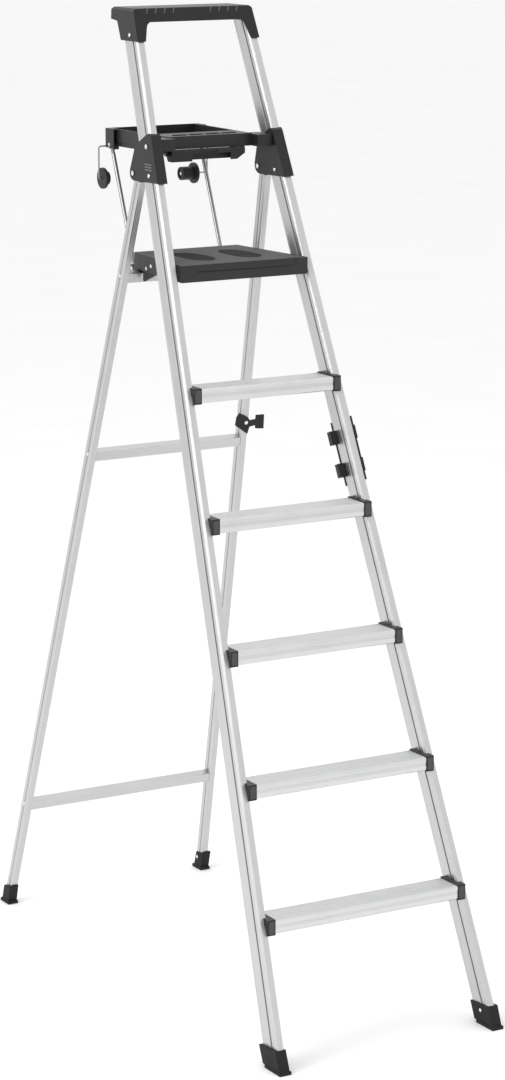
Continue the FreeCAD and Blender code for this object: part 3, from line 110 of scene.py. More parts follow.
# %% Two small classes for materials
class Wire:
    """One output socket of a node; sums on it become Math nodes."""

    def __init__(self, finish, socket):
        self.finish = finish
        self.socket = socket

    def maths(self, operation, first, second=0.0):
        return self.finish.add("ShaderNodeMath", {"operation": operation}, {0: first, 1: second})

    def __add__(self, other):
        return self.maths("ADD", self, other)

    def __radd__(self, other):
        return self.maths("ADD", other, self)

    def __sub__(self, other):
        return self.maths("SUBTRACT", self, other)

    def __rsub__(self, other):
        return self.maths("SUBTRACT", other, self)

    def __mul__(self, other):
        return self.maths("MULTIPLY", self, other)

    def __rmul__(self, other):
        return self.maths("MULTIPLY", other, self)

    def __gt__(self, other):
        return self.maths("GREATER_THAN", self, other)


class Finish:
    """A material round one Principled shader."""

    def __init__(self, name, **constants):
        self.material = bpy.data.materials.new(name)
        self.material.use_nodes = True
        self.tree = self.material.node_tree
        self.shader = self.tree.nodes["Principled BSDF"]
        for socket, value in constants.items():
            self.shader.inputs[socket.replace("_", " ").title().replace("Ior", "IOR")].default_value = value

    def feed(self, socket, value):
        """Links a wire to a socket, or sets a plain value on it."""
        if isinstance(value, Wire):
            self.tree.links.new(value.socket, socket)
        else:
            socket.default_value = value

    def add(self, kind, settings=None, sockets=None, out=0):
        """One node of any kind: its settings first, then its sockets."""
        made = self.tree.nodes.new(kind)
        for key, value in (settings or {}).items():
            setattr(made, key, value)
        for key, value in (sockets or {}).items():
            self.feed(made.inputs[key], value)
        return Wire(self, made.outputs[out])

    def place(self, turn=(0, 0, 0), scale=(1, 1, 1)):
        """Object coordinates, turned to follow a part and stretched along it."""
        where = self.add("ShaderNodeTexCoord", out=3)
        straight = self.add("ShaderNodeVectorRotate", {"rotation_type": "EULER_XYZ", "invert": True},
                            {"Vector": where, "Rotation": turn})
        return self.add("ShaderNodeVectorMath", {"operation": "MULTIPLY"}, {0: straight, 1: scale})

    def noise(self, where, scale, detail=3.0, roughness=0.5):
        return self.add("ShaderNodeTexNoise", None,
                        {"Vector": where, "Scale": scale, "Detail": detail, "Roughness": roughness})

    def blend(self, share, first, second):
        """A colour between two colours."""
        return self.add("ShaderNodeMix", {"data_type": "RGBA"}, {0: share, 6: first, 7: second}, out=2)

    def bump(self, height, distance, strength):
        return self.add("ShaderNodeBump", None,
                        {"Height": height, "Distance": distance, "Strength": strength})

    def use(self, **wires):
        for socket, value in wires.items():
            self.feed(self.shader.inputs[socket.replace("_", " ").title()], value)
        return self.material


print("shader helpers ready")

# %% [markdown]
# ## Extruded aluminium
# Rails, legs, bars and treads are all pushed through a die, which leaves hair-fine lines along the
# whole length. The lines are noise stretched along the part, so the coordinates are first turned to
# the part's own lean. Larger, softer noise dulls the mill finish in patches, as handling does.

# %% Mill-finish aluminium
SIDE_TAPER = 3.43
FRONT_LEAN = 21.72
REAR_LEAN = 15.62


def lean(taper, roll):
    """Rotation of a leaning part: roll about X first, then taper about Y, in degrees."""
    return Matrix.Rotation(math.radians(taper), 3, "Y") @ Matrix.Rotation(math.radians(roll), 3, "X")


def grey(value, blue=0.0):
    """A neutral colour with a little blue in it."""
    return (value, value * (1 + blue / 2), value * (1 + blue), 1.0)


def aluminium(name, turn, along, bright=0.56, rough=0.34):
    """Extrusion with drawn lines along one of its own axes."""
    finish = Finish(name, metallic=1.0)
    stretch = [900.0, 900.0, 900.0]
    stretch[along] = 4.0
    lines = finish.noise(finish.place(tuple(turn.to_euler("XYZ")), stretch), 1.0, 2.0)
    patches = finish.noise(finish.place(), 14.0, 4.0)
    colour = finish.blend(lines * 0.6 + patches * 0.4, grey(bright * 0.86, 0.01), grey(bright * 1.1, 0.01))
    scuffs = finish.noise(finish.place(scale=(1, 1, 3)), 120.0, 5.0, 0.7)
    dull = patches * 0.14 + lines * 0.1 + (scuffs > 0.68) * 0.08 + (rough - 0.12)
    return finish.use(base_color=colour, roughness=dull, normal=finish.bump(lines, 0.00004, 0.35))


UPRIGHT = Matrix.Identity(3)
# Aluminium made much darker for the faces deep in the grooves: painted shade in the recesses.
CHANNEL_PAINTED_SHADE = aluminium("channel_aluminium", lean(0, -FRONT_LEAN), 2, 0.16, 0.5)
ALUMINIUM = {}
for word, side in SIDES.items():
    ALUMINIUM["rail_" + word] = aluminium("rail_aluminium_" + word, lean(-side * SIDE_TAPER, -FRONT_LEAN), 2)
    ALUMINIUM["leg_" + word] = aluminium("leg_aluminium_" + word, lean(-side * SIDE_TAPER, REAR_LEAN), 2)
ALUMINIUM["bar"] = aluminium("crossbar_aluminium", lean(0, REAR_LEAN), 0, 0.56, 0.36)
ALUMINIUM["tread"] = aluminium("tread_aluminium", UPRIGHT, 0, 0.66, 0.3)
print("aluminium finishes:", sorted(ALUMINIUM))

# %% [markdown]
# ## Steel
# Pins, rivets, rods and wires are zinc-plated steel: a little darker and bluer than aluminium, and
# shinier. Plating is mottled, which a fine noise in the roughness shows.


# %% Plated steel
def plated_steel(name, bright, rough):
    finish = Finish(name, metallic=1.0)
    mottle = finish.noise(finish.place(), 260.0, 4.0, 0.6)
    drawn = finish.noise(finish.place(scale=(300, 300, 12)), 1.0, 2.0)
    colour = finish.blend(mottle, grey(bright * 0.82, 0.03), grey(bright, 0.03))
    return finish.use(base_color=colour, roughness=mottle * 0.12 + drawn * 0.06 + (rough - 0.07),
                      normal=finish.bump(drawn, 0.00003, 0.3))


STEEL_ROD = plated_steel("rod_steel", 0.3, 0.3)
STEEL_RIVET = plated_steel("rivet_steel", 0.84, 0.24)
print("steel finishes:", STEEL_ROD.name, STEEL_RIVET.name)

# %% [markdown]
# ## Moulded plastic and rubber
# The black parts are injection moulded in a spark-eroded tool, so their surface is a fine leather-like
# grain: small rounded bumps a fraction of a millimetre across. A Voronoi pattern gives the cells and
# noise breaks them up. Rubber is duller, with a powdery bloom where it has been walked on.


# %% Moulded plastic
def moulded(name, shade, rough=0.42, cell=1400.0, depth=0.00006, worn=0.25):
    """Fine-grained plastic; worn is how much paler dust and rubbing make it."""
    finish = Finish(name, specular_ior_level=0.3)
    where = finish.place()
    cells = finish.add("ShaderNodeTexVoronoi", {"feature": "SMOOTH_F1"}, {"Vector": where, "Scale": cell})
    cloud = finish.noise(where, 9.0, 4.0)
    speck = finish.noise(where, 420.0, 3.0)
    colour = finish.blend(cloud * 0.7 + speck * 0.3, grey(shade * (1 - worn), 0.02),
                          grey(shade * (1 + worn), 0.02))
    dull = cloud * 0.12 + speck * 0.08 + (rough - 0.1)
    return finish.use(base_color=colour, roughness=dull, normal=finish.bump(cells + speck * 0.4, depth, 0.6))


BLACK_PLASTIC = moulded("black_plastic", 0.011)
CAP_PLASTIC = moulded("cap_plastic", 0.01, 0.38)
DECK_PLASTIC = moulded("deck_plastic", 0.02, 0.46)
TRAY_PLASTIC = moulded("tray_plastic", 0.014, 0.4)
GRIP_PLASTIC = moulded("grip_plastic", 0.012, 0.6, 900.0, 0.0001)
END_CAP_PLASTIC = moulded("end_cap_plastic", 0.011, 0.42)
BADGE_PLASTIC = moulded("end_cap_face_plastic", 0.055, 0.5)
# Near-black plastic for the line under the apron panel: painted shadow.
APRON_PAINTED_SHADOW = moulded("groove_plastic", 0.003, 0.8)
# Much paler plastic for ridges and ribs: a painted highlight on raised moulding.
RIDGE_HIGHLIGHT_PLASTIC = moulded("ridge_plastic", 0.09, 0.35)
# Paler plastic for the deck ribs: painted light on the lit top of the deck.
DECK_TOP_LIT_PLASTIC = moulded("deck_top_plastic", 0.10, 0.5)
FOOT_RUBBER = moulded("foot_rubber", 0.01, 0.72, 700.0, 0.00012, 0.4)
STRAP_RUBBER = moulded("strap_rubber", 0.012, 0.62, 800.0, 0.0001, 0.3)
soft_finishes = [made.name for made in bpy.data.materials if made.name.endswith(("plastic", "rubber"))]
print("plastic and rubber finishes:", soft_finishes)

# %% [markdown]
# ## Soft edges on the CAD parts
# No moulded or cast part has knife edges, and it is the rounded edge that catches the light. The CAD
# meshes are triangles with split corners, so four modifiers work in turn: Weld joins the corners,
# Decimate in planar mode merges triangles that lie flat together, Bevel rounds what is left, and
# Weighted Normal keeps the flat faces flat beside the round edges.


# %% Bevels and finishes for the CAD nodes
SHARP_ANGLE = math.radians(34)


def round_edges(item, width):
    """A bevel along the sharp edges, with flat faces kept flat beside it."""
    bevel = item.modifiers.new("round edges", "BEVEL")
    bevel.width = width
    bevel.segments = 2
    bevel.limit_method = "ANGLE"
    bevel.angle_limit = SHARP_ANGLE
    level = item.modifiers.new("flat faces stay flat", "WEIGHTED_NORMAL")
    level.keep_sharp = True


def soften(item, width):
    """Rounds the sharp edges of a CAD mesh with modifiers."""
    weld = item.modifiers.new("join corners", "WELD")
    weld.merge_threshold = 0.00001
    flat = item.modifiers.new("merge flat faces", "DECIMATE")
    flat.decimate_type = "DISSOLVE"
    flat.angle_limit = math.radians(0.6)
    item.data.shade_smooth()
    round_edges(item, width)


def paint(item, material):
    item.data.materials.clear()
    item.data.materials.append(material)


CAD_FINISHES = {
    "hinge_bracket": (BLACK_PLASTIC, 0.9), "front_foot_left": (FOOT_RUBBER, 1.2),
    "front_foot_right": (FOOT_RUBBER, 1.2), "rear_foot_left": (FOOT_RUBBER, 1.2),
    "rear_foot_right": (FOOT_RUBBER, 1.2), "top_cap": (CAP_PLASTIC, 2.0), "catch_plate": (BLACK_PLASTIC, 0.6),
    "leg_hinge_plug": (BLACK_PLASTIC, 0.6), "rear_crossbar": (ALUMINIUM["bar"], 0.9),
    "storage_strap": (STRAP_RUBBER, 0.8), "platform": (DECK_PLASTIC, 1.4),
    "platform_hook": (BLACK_PLASTIC, 0.8), "tray": (TRAY_PLASTIC, 0.8), "link_rod": (STEEL_ROD, 0.4),
    "latch_handle": (BLACK_PLASTIC, 1.0), "towel_arm": (STEEL_ROD, 0), "towel_plug": (BLACK_PLASTIC, 0.8),
    "step_end_caps": (END_CAP_PLASTIC, 0.8), "plug_screw": (STEEL_RIVET, 0.3), "pin": (STEEL_RIVET, 0.5),
    "rivets": (STEEL_RIVET, 0.4), "screw": (STEEL_RIVET, 0.4), "spring": (STEEL_ROD, 0),
}


def cad_finish(node):
    """The finish and bevel of a CAD node, by the longest name that it holds."""
    found = [key for key in CAD_FINISHES if key in node]
    for last in ("rivets", "pin", "screw", "spring"):
        if node.endswith((last, last + "s")) or (last == "pin" and "pivot_pin" in node):
            return CAD_FINISHES[last]
    return CAD_FINISHES[max(found, key=len)] if found else (ALUMINIUM["bar"], 0.5)


for node, item in nodes.items():
    material, edge = cad_finish(node)
    paint(item, material)
    if edge:
        soften(item, edge * MM)
print("CAD nodes painted:", len(nodes))

# %% [markdown]
# ## Building meshes
# Most of the added pieces are one of three shapes: an outline pulled along a straight line, as an
# extrusion is; an outline spun round an axis, as a rivet is; or a bar along a path, whose helper comes
# later. Each helper gives back points and faces, and `piece` makes an object that rides on a CAD body.


# %% Mesh helpers
def pull(outline, place, low, high):
    """Walls and ends of an outline pulled from low to high; place turns (a, b, t) into a point."""
    points = [place(a, b, end) for end in (low, high) for a, b in outline]
    count = len(outline)
    faces = [(k, (k + 1) % count, (k + 1) % count + count, k + count) for k in range(count)]
    faces.append(tuple(range(count))[::-1])
    faces.append(tuple(range(count, 2 * count)))
    return points, faces


def spin(profile, centre, axis, turns=24):
    """A profile of (along, radius) pairs spun round an axis; radius 0 closes an end."""
    axis = Vector(axis).normalized()
    first = axis.orthogonal().normalized()
    second = axis.cross(first)
    points = []
    rings = []
    for along, radius in profile:
        middle = Vector(centre) + axis * along
        if radius == 0:
            rings.append([len(points)])
            points.append(middle)
            continue
        rings.append(list(range(len(points), len(points) + turns)))
        for k in range(turns):
            angle = 2 * math.pi * k / turns
            points.append(middle + (first * math.cos(angle) + second * math.sin(angle)) * radius)
    faces = []
    for lower, upper in zip(rings, rings[1:]):
        for k in range(turns):
            corner = [lower[k % len(lower)], lower[(k + 1) % len(lower)],
                      upper[(k + 1) % len(upper)], upper[k % len(upper)]]
            face = tuple(dict.fromkeys(corner))
            if len(face) > 2:
                faces.append(face)
    return points, faces


def gather(shapes):
    """Several (points, faces) shapes as one."""
    points = []
    faces = []
    for some_points, some_faces in shapes:
        start = len(points)
        points += list(some_points)
        faces += [tuple(start + index for index in face) for face in some_faces]
    return points, faces


def piece(name, shape, material, body, smooth=32.0, edge=0.0, dark=None, painted_shade_material=None):
    """A mesh object with its finish, riding on a CAD body."""
    mesh = bpy.data.meshes.new(name)
    mesh.from_pydata([tuple(point) for point in shape[0]], [], shape[1])
    work = bmesh.new()
    work.from_mesh(mesh)
    bmesh.ops.recalc_face_normals(work, faces=work.faces)
    work.to_mesh(mesh)
    work.free()
    mesh.shade_smooth()
    mesh.set_sharp_from_angle(angle=math.radians(smooth))
    item = bpy.data.objects.new(name, mesh)
    bpy.context.scene.collection.objects.link(item)
    item.data.materials.append(material)
    # Faces listed in dark take a second, darker finish: painted shade.
    if dark:
        item.data.materials.append(painted_shade_material)
        for index in dark:
            mesh.polygons[index].material_index = 1
    if edge:
        round_edges(item, edge)
    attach(item, body)
    return item


def own_box(node, turn):
    """Lowest and highest corners of a CAD node measured along its own leaning axes."""
    back = turn.transposed()
    corners = [back @ vertex.co for vertex in nodes[node].data.vertices]
    low = Vector([min(corner[k] for corner in corners) for k in range(3)])
    high = Vector([max(corner[k] for corner in corners) for k in range(3)])
    return low, high


print("mesh helpers ready")

# %% [markdown]
# ## Front rails
# A rail is a box extrusion with one deep groove down each side and fine reeding beside it. The reeding
# is real geometry, because a bump map can't give the thin bright and dark lines that run the whole
# height. The outline is drawn once, from the outer front corner, and mirrored for the other side.


# %% Reeded rail outline
def reeds(start, end, count, depth):
    """Small rounded grooves between two places on a straight face, as (place, depth) pairs."""
    pitch = (end - start) / count
    marks = []
    for k in range(count):
        base = start + k * pitch
        marks += [(base + pitch * 0.2, 0.0), (base + pitch * 0.38, depth), (base + pitch * 0.62, depth),
                  (base + pitch * 0.8, 0.0)]
    return marks


CHANNEL = 2.2
# Faces deeper than INSIDE_SKIN and further than INSIDE_ENDS from the front and rear faces get painted shade.
INSIDE_SKIN = 0.7
INSIDE_ENDS = 8


def side_marks(depth):
    """Marks on one side face of a rail: reeding, the deep groove, then broad flats."""
    groove = [(22.0, 0.0), (22.3, CHANNEL), (27.2, CHANNEL), (27.5, 0.0)]
    steps = [(30.5, 0.0), (30.8, 0.4), (31.4, 0.4), (31.7, 0.0), (depth - 6.4, 0.0), (depth - 6.1, 0.4),
             (depth - 5.5, 0.4), (depth - 5.2, 0.0)]
    return reeds(3.0, 12.0, 5, 0.3) + groove + steps


def rail_outline(width, depth, marks, front_marks):
    """Outline from the outer front corner round the tube; first number inwards, second backwards."""
    corner = 1.6
    outline = [(corner, 0.0)] + front_marks + [(width - corner, 0.0), (width - 0.5, 0.5), (width, corner)]
    outline += [(width - notch, b) for b, notch in marks]
    outline += [(width, depth - corner), (width - 0.5, depth - 0.5), (width - corner, depth)]
    outline += [(corner, depth), (0.5, depth - 0.5), (0.0, depth - corner)]
    outline += [(notch, b) for b, notch in reversed(marks)]
    outline += [(0.0, corner), (0.5, 0.5)]
    return outline


def extrusion(node, side, roll, outline_of, material, body):
    """Replaces a leaning CAD tube by a reeded one of the same size."""
    turn = lean(-side * SIDE_TAPER, roll)
    low, high = own_box(node, turn)
    width, depth = (high.x - low.x) / MM, (high.y - low.y) / MM
    outer = high.x if side > 0 else low.x

    def place(a, b, t):
        return turn @ Vector((outer - side * a * MM, low.y + b * MM, t))

    outline = outline_of(width, depth)
    count = len(outline)

    def in_channel(corner):
        return (INSIDE_SKIN < corner[0] < width - INSIDE_SKIN
                and INSIDE_ENDS < corner[1] < depth - INSIDE_ENDS)

    # Faces deep in a groove take the darker channel finish, which is painted shade.
    deep = [k for k in range(count) if in_channel(outline[k]) and in_channel(outline[(k + 1) % count])]
    skin = piece(node + "_extrusion", pull(outline, place, low.z, high.z), material, body,
                 20.0, dark=deep, painted_shade_material=CHANNEL_PAINTED_SHADE)
    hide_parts(node)
    return skin


def front_rail_outline(width, depth):
    return rail_outline(width, depth, side_marks(depth), reeds(2.6, width - 2.6, 5, 0.3))


for word, side in SIDES.items():
    rail = extrusion("front_rail_" + word, side, -FRONT_LEAN, front_rail_outline, ALUMINIUM["rail_" + word],
                     "front_frame")
    print(rail.name, len(rail.data.polygons), "faces")

# %% [markdown]
# ## Rear legs
# The rear legs are a lighter tube of the same family: a shallow channel down the middle of each side
# and a pair of fine lines near each edge.


# %% Rear leg tubes
def rear_leg_outline(width, depth):
    marks = [(3.0, 0.0), (3.3, 0.35), (3.8, 0.35), (4.1, 0.0),
             (12.0, 0.0), (12.3, 0.9), (15.4, 0.9), (15.7, 0.0),
             (depth - 4.1, 0.0), (depth - 3.8, 0.35), (depth - 3.3, 0.35), (depth - 3.0, 0.0)]
    return rail_outline(width, depth, marks, reeds(3.2, width - 3.2, 3, 0.3))


for word, side in SIDES.items():
    leg = extrusion("rear_leg_" + word, side, REAR_LEAN, rear_leg_outline, ALUMINIUM["leg_" + word],
                    "rear_frame")
    print(leg.name, len(leg.data.polygons), "faces")

# %% [markdown]
# ## Treads
# A tread is one extrusion: ribs along the top for grip, a tall front skirt with a serrated band, and
# a rolled lip under it. Each rib has a small valley in its crown, which is what shows as a double line.


# %% Tread outline
TREAD_WALL = 2.0
TREAD_RIB = 1.2


def tread_outline(depth, height):
    """Outline as (backwards, upwards) pairs in millimetres, from the front edge of the top."""
    outline = [(0.0, -3.4), (0.4, -2.1), (1.6, -TREAD_RIB)]
    ribs = 6
    for k in range(ribs):
        start = depth * (k + 0.5) / ribs - 1.5
        outline += [(start, -TREAD_RIB), (start + 0.3, -0.2), (start + 1.0, 0.0), (start + 1.5, -0.5),
                    (start + 2.0, 0.0), (start + 2.7, -0.2), (start + 3.0, -TREAD_RIB)]
        if k < ribs - 1:
            middle = start + 1.5 + depth / ribs / 2
            outline += [(middle - 1.6, -TREAD_RIB), (middle - 1.2, -0.75), (middle + 1.2, -0.75),
                        (middle + 1.6, -TREAD_RIB)]
    outline += [(depth - 1.6, -TREAD_RIB), (depth - 0.4, -2.1), (depth, -3.4), (depth, -23.0),
                (depth - 1, -24.0),
                (depth - TREAD_WALL, -23.0), (depth - TREAD_WALL, -TREAD_WALL - TREAD_RIB),
                (TREAD_WALL, -TREAD_WALL - TREAD_RIB), (TREAD_WALL, -27.5), (3.2, -30.6), (5.0, -31.8),
                (6.9, -31.2), (7.6, -29.6), (8.9, -29.6), (8.6, -32.4), (6.8, -34.4), (4.6, -height),
                (2.2, -34.4), (0.6, -32.4), (0.0, -29.6)]
    for k in range(4):
        low = -21.5 + k * 2.2
        outline += [(0.0, low), (0.45, low + 0.5), (0.45, low + 1.1), (0.0, low + 1.6)]
    return outline


for index in range(1, 6):
    node = f"step_tread_{index}"
    low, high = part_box(node)
    outline = tread_outline((high.y - low.y) / MM, (high.z - low.z) / MM)
    shape = pull(outline, lambda a, b, t: Vector((t, low.y + a * MM, high.z + b * MM)), low.x, high.x)
    tread = piece(node + "_extrusion", shape, ALUMINIUM["tread"], "front_frame", 24.0)
    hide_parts(node)
print("last tread is", round(high.x - low.x, 3), "m wide")

# %% [markdown]
# ## Rivets
# Blind rivets have a thin domed head with the broken mandrel in a dimple at its crown. Every rivet in
# the CAD model is a plain shank with flat heads, so each one is found as a separate island of its
# node's mesh, measured, and spun again with a proper dome at each end that has a head.


# %% Domed blind rivets
def islands(node):
    """The separate solids of a CAD node, each as a list of points."""
    work = bmesh.new()
    work.from_mesh(nodes[node].data)
    bmesh.ops.remove_doubles(work, verts=work.verts, dist=0.00001)
    left = set(work.verts)
    found = []
    while left:
        queue = [left.pop()]
        island = []
        while queue:
            vertex = queue.pop()
            island.append(vertex.co.copy())
            for edge in vertex.link_edges:
                other = edge.other_vert(vertex)
                if other in left:
                    left.remove(other)
                    queue.append(other)
        found.append(island)
    work.free()
    return found


HEAD_HEIGHT = 0.0016
HEAD_OVERLAP = 0.0008


def rivet_shape(points, axis):
    """A domed blind rivet in the place of a plain one."""
    axis = Vector(axis).normalized()
    middle = sum(points, Vector()) / len(points)
    along = [(point - middle).dot(axis) for point in points]
    radii = [((point - middle) - axis * step).length for point, step in zip(points, along)]
    low, high = min(along), max(along)
    shank = min(radii)
    shapes = []
    for end, outward in ((low, -1), (high, 1)):
        near = [radius for radius, step in zip(radii, along) if abs(step - end) < 0.0004]
        head = max(near)
        if head < shank * 1.25:
            continue
        tall = HEAD_HEIGHT
        profile = [(-tall, 0.0), (-tall, head * 0.97), (-tall * 0.7, head), (-tall * 0.35, head * 0.9),
                   (-tall * 0.05, head * 0.62), (0.0, head * 0.45), (-0.0001, head * 0.3),
                   (-0.0007, head * 0.26), (-0.0007, head * 0.12), (-0.0004, 0.0)]
        shapes.append(spin(profile, middle + axis * end, axis * outward, 20))
    start, end = low + HEAD_OVERLAP, high - HEAD_OVERLAP
    shapes.append(spin([(start, 0.0), (start, shank), (end, shank), (end, 0.0)], middle, axis, 16))
    return gather(shapes)


def rivet_axis(points):
    """Most rivets lie along X, tilted with the side that they sit in."""
    side = 1 if sum(point.x for point in points) > 0 else -1
    return Matrix.Rotation(math.radians(-side * SIDE_TAPER), 3, "Y") @ Vector((1, 0, 0))


def dress_rivets(node, body, upright=False):
    shapes = []
    for points in islands(node):
        axis = Vector((1, 0, 0)) if upright else rivet_axis(points)
        shapes.append(rivet_shape(points, axis))
    made = piece(node + "_domed", gather(shapes), STEEL_RIVET, body, 30.0)
    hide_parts(node)
    return made


for node, body in (("cap_rivets", "front_frame"), ("bracket_rivets", "front_frame"),
                   ("step_rivets", "front_frame"), ("front_foot_rivets", "front_frame"),
                   ("rear_foot_rivets", "rear_frame"), ("crossbar_rivets", "rear_frame")):
    dress_rivets(node, body)
dress_rivets("platform_hook_rivets", "platform", upright=True)

# %% [markdown]
# ## More shapes
# The small details need three more outlines: a rectangle with round corners, a ring between two
# outlines, and a bar bent along a path. All give points and faces, as the first helpers do.


# %% More mesh helpers
def rounded(x0, y0, x1, y1, radius, steps=4):
    """A rectangle with round corners, as (a, b) pairs."""
    centres = ((x1 - radius, y1 - radius), (x0 + radius, y1 - radius), (x0 + radius, y0 + radius),
               (x1 - radius, y0 + radius))
    outline = []
    for quarter, (a, b) in enumerate(centres):
        for k in range(steps + 1):
            angle = math.pi / 2 * (quarter + k / steps)
            outline.append((a + radius * math.cos(angle), b + radius * math.sin(angle)))
    return outline


def ring(outer, inner, place, low, high):
    """A wall between two outlines that have the same number of points."""
    count = len(outer)
    points = []
    for loop, level in ((outer, low), (outer, high), (inner, high), (inner, low)):
        points += [place(a, b, level) for a, b in loop]
    faces = []
    for k in range(count):
        after = (k + 1) % count
        for row in range(4):
            lower, upper = row * count, (row + 1) % 4 * count
            faces.append((lower + k, lower + after, upper + after, upper + k))
    return points, faces


def bar(path, radius, sides=8):
    """A round bar along a path, closed at both ends."""
    path = [Vector(point) for point in path]
    points = []
    faces = []
    across = None
    for k, point in enumerate(path):
        direction = (path[min(k + 1, len(path) - 1)] - path[max(k - 1, 0)]).normalized()
        across = direction.orthogonal() if across is None else across - direction * across.dot(direction)
        across.normalize()
        other = direction.cross(across)
        for step in range(sides):
            angle = 2 * math.pi * step / sides
            points.append(point + (across * math.cos(angle) + other * math.sin(angle)) * radius)
    for k in range(len(path) - 1):
        for step in range(sides):
            after = (step + 1) % sides
            lower, upper = k * sides, (k + 1) * sides
            faces.append((lower + step, lower + after, upper + after, upper + step))
    faces.append(tuple(range(sides))[::-1])
    faces.append(tuple(range((len(path) - 1) * sides, len(path) * sides)))
    return points, faces


def island_box(points):
    low = Vector([min(point[k] for point in points) for k in range(3)])
    high = Vector([max(point[k] for point in points) for k in range(3)])
    return low, high


def flat_xy(a, b, t):
    return Vector((a, b, t))


def facing_front(a, b, t):
    return Vector((a, t, b))


print("more helpers ready")

# %% [markdown]
# ## Top cap
# The handle that the climber holds has slanted grip ridges over its front top edge, four on each
# side, and a thin raised line between the two groups. The ridges bend over the edge, so each one is a
# bar along a short bent path. They are a much paler plastic than the cap, which is a painted highlight.

# %% Grip ridges of the cap
cap_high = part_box("top_cap")[1]
CAP_SLOPE = math.tan(math.radians(FRONT_LEAN))
CHAMFER_REACH = 0.0022
RIDGE_PITCH = 0.0245
RIDGE_STARTS = (-0.127, 0.050)
RIDGE_RADIUS = 0.0016
RIDGE_SINK = 0.0002
LINE_DROP = 0.0022
LINE_HALF = 0.044
LINE_RADIUS = 0.0009
cap_front = min(vertex.co.y for vertex in nodes["top_cap"].data.vertices
                if vertex.co.z > cap_high.z - 0.0005)


def ridge_path(x):
    """Up the leaning front, over the chamfer and back along the top."""
    path = [(x + 0.002 - drop / 2, cap_front - drop * CAP_SLOPE - CHAMFER_REACH, cap_high.z - drop)
            for drop in (0.013, 0.009, 0.005)]
    path.append((x + 0.001, cap_front - 0.001, cap_high.z - 0.002))
    path.append((x + 0.004, cap_front + 0.003, cap_high.z - RIDGE_SINK))
    path.append((x + 0.010, cap_front + 0.014, cap_high.z - RIDGE_SINK))
    return path


ridge_shapes = [bar(ridge_path(start + k * RIDGE_PITCH), RIDGE_RADIUS)
                for start in RIDGE_STARTS for k in range(4)]
line_front = cap_front - LINE_DROP * CAP_SLOPE - RIDGE_SINK
line_path = [(x, line_front, cap_high.z - LINE_DROP) for x in (-LINE_HALF, 0.0, LINE_HALF)]
ridge_shapes.append(bar(line_path, LINE_RADIUS))
# The ridges take the paler ridge plastic: painted highlight.
piece("cap_grip_ridges", gather(ridge_shapes), RIDGE_HIGHLIGHT_PLASTIC, "front_frame", 50.0)
print("cap ridges and the line between them:", len(ridge_shapes))

# %% [markdown]
# ## Platform deck
# The standing surface is ribbed across, its ribs much paler than the deck as painted light
# from above, and two foot-shaped patches have finer, darker ribs for grip.
# The front apron carries a slightly raised panel, with a near-black bar along its lower edge: painted
# shadow under the panel. The deck tapers, so the half width at any depth is measured from the corners of the
# CAD mesh.

# %% Deck ribs and grip patches
deck_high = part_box("platform")[1]
top_corners = [vertex.co for vertex in nodes["platform"].data.vertices if vertex.co.z > deck_high.z - 0.0005]
deck_front = min(point.y for point in top_corners)
deck_rear = max(point.y for point in top_corners)
front_half = max(point.x for point in top_corners if point.y < deck_front + 0.001)
rear_half = max(point.x for point in top_corners if point.y > deck_rear - 0.001)


def deck_half(y):
    return front_half + (rear_half - front_half) * (y - deck_front) / (deck_rear - deck_front)


PATCH_CENTRE = (0.064, 0.098)
PATCH_HALF = (0.034, 0.080)
PATCH_GAP = 0.003
PATCH_PITCH = 0.0033
LEAST_REACH = 0.004
DECK_PITCH = 0.0062
DECK_ENDS = (0.012, 0.010)
DECK_BORDER = 0.009


def patch_reach(y):
    """Half width of a foot-shaped patch at a depth, or 0 outside it."""
    share = 1 - abs((y - PATCH_CENTRE[1]) / PATCH_HALF[1]) ** 2.6
    return PATCH_HALF[0] * share ** 0.45 if share > 0 else 0.0


def rib(x0, x1, y, width, height):
    """A low rounded rib across the deck."""
    outline = [(-width / 2, -0.0002), (-width / 2, height * 0.5), (-width / 4, height), (width / 4, height),
               (width / 2, height * 0.5), (width / 2, -0.0002)]
    return pull(outline, lambda a, b, t: Vector((t, y + a, deck_high.z + b)), x0, x1)


deck_ribs = []
y = deck_front + DECK_ENDS[0]
while y < deck_rear - DECK_ENDS[1]:
    edge = deck_half(y) - DECK_BORDER
    gap = patch_reach(y)
    stops = [-edge, edge]
    if gap:
        gap += PATCH_GAP
        stops = [-edge, -PATCH_CENTRE[0] - gap, -PATCH_CENTRE[0] + gap, PATCH_CENTRE[0] - gap,
                 PATCH_CENTRE[0] + gap, edge]
    deck_ribs += [rib(x0, x1, y, 0.0034, 0.0006) for x0, x1 in zip(stops[::2], stops[1::2])]
    y += DECK_PITCH
# The deck ribs are paler than the deck: painted light from above.
piece("deck_ribs", gather(deck_ribs), DECK_TOP_LIT_PLASTIC, "platform", 50.0)
patch_ribs = []
y = PATCH_CENTRE[1] - PATCH_HALF[1] + 0.002
while y < PATCH_CENTRE[1] + PATCH_HALF[1]:
    reach = patch_reach(y)
    if reach > LEAST_REACH:
        patch_ribs += [rib(side * PATCH_CENTRE[0] - reach, side * PATCH_CENTRE[0] + reach, y, 0.0024, 0.0011)
                       for side in (-1, 1)]
    y += PATCH_PITCH
piece("deck_grip_patches", gather(patch_ribs), GRIP_PLASTIC, "platform", 50.0)
print("deck ribs:", len(deck_ribs), "patch ribs:", len(patch_ribs))

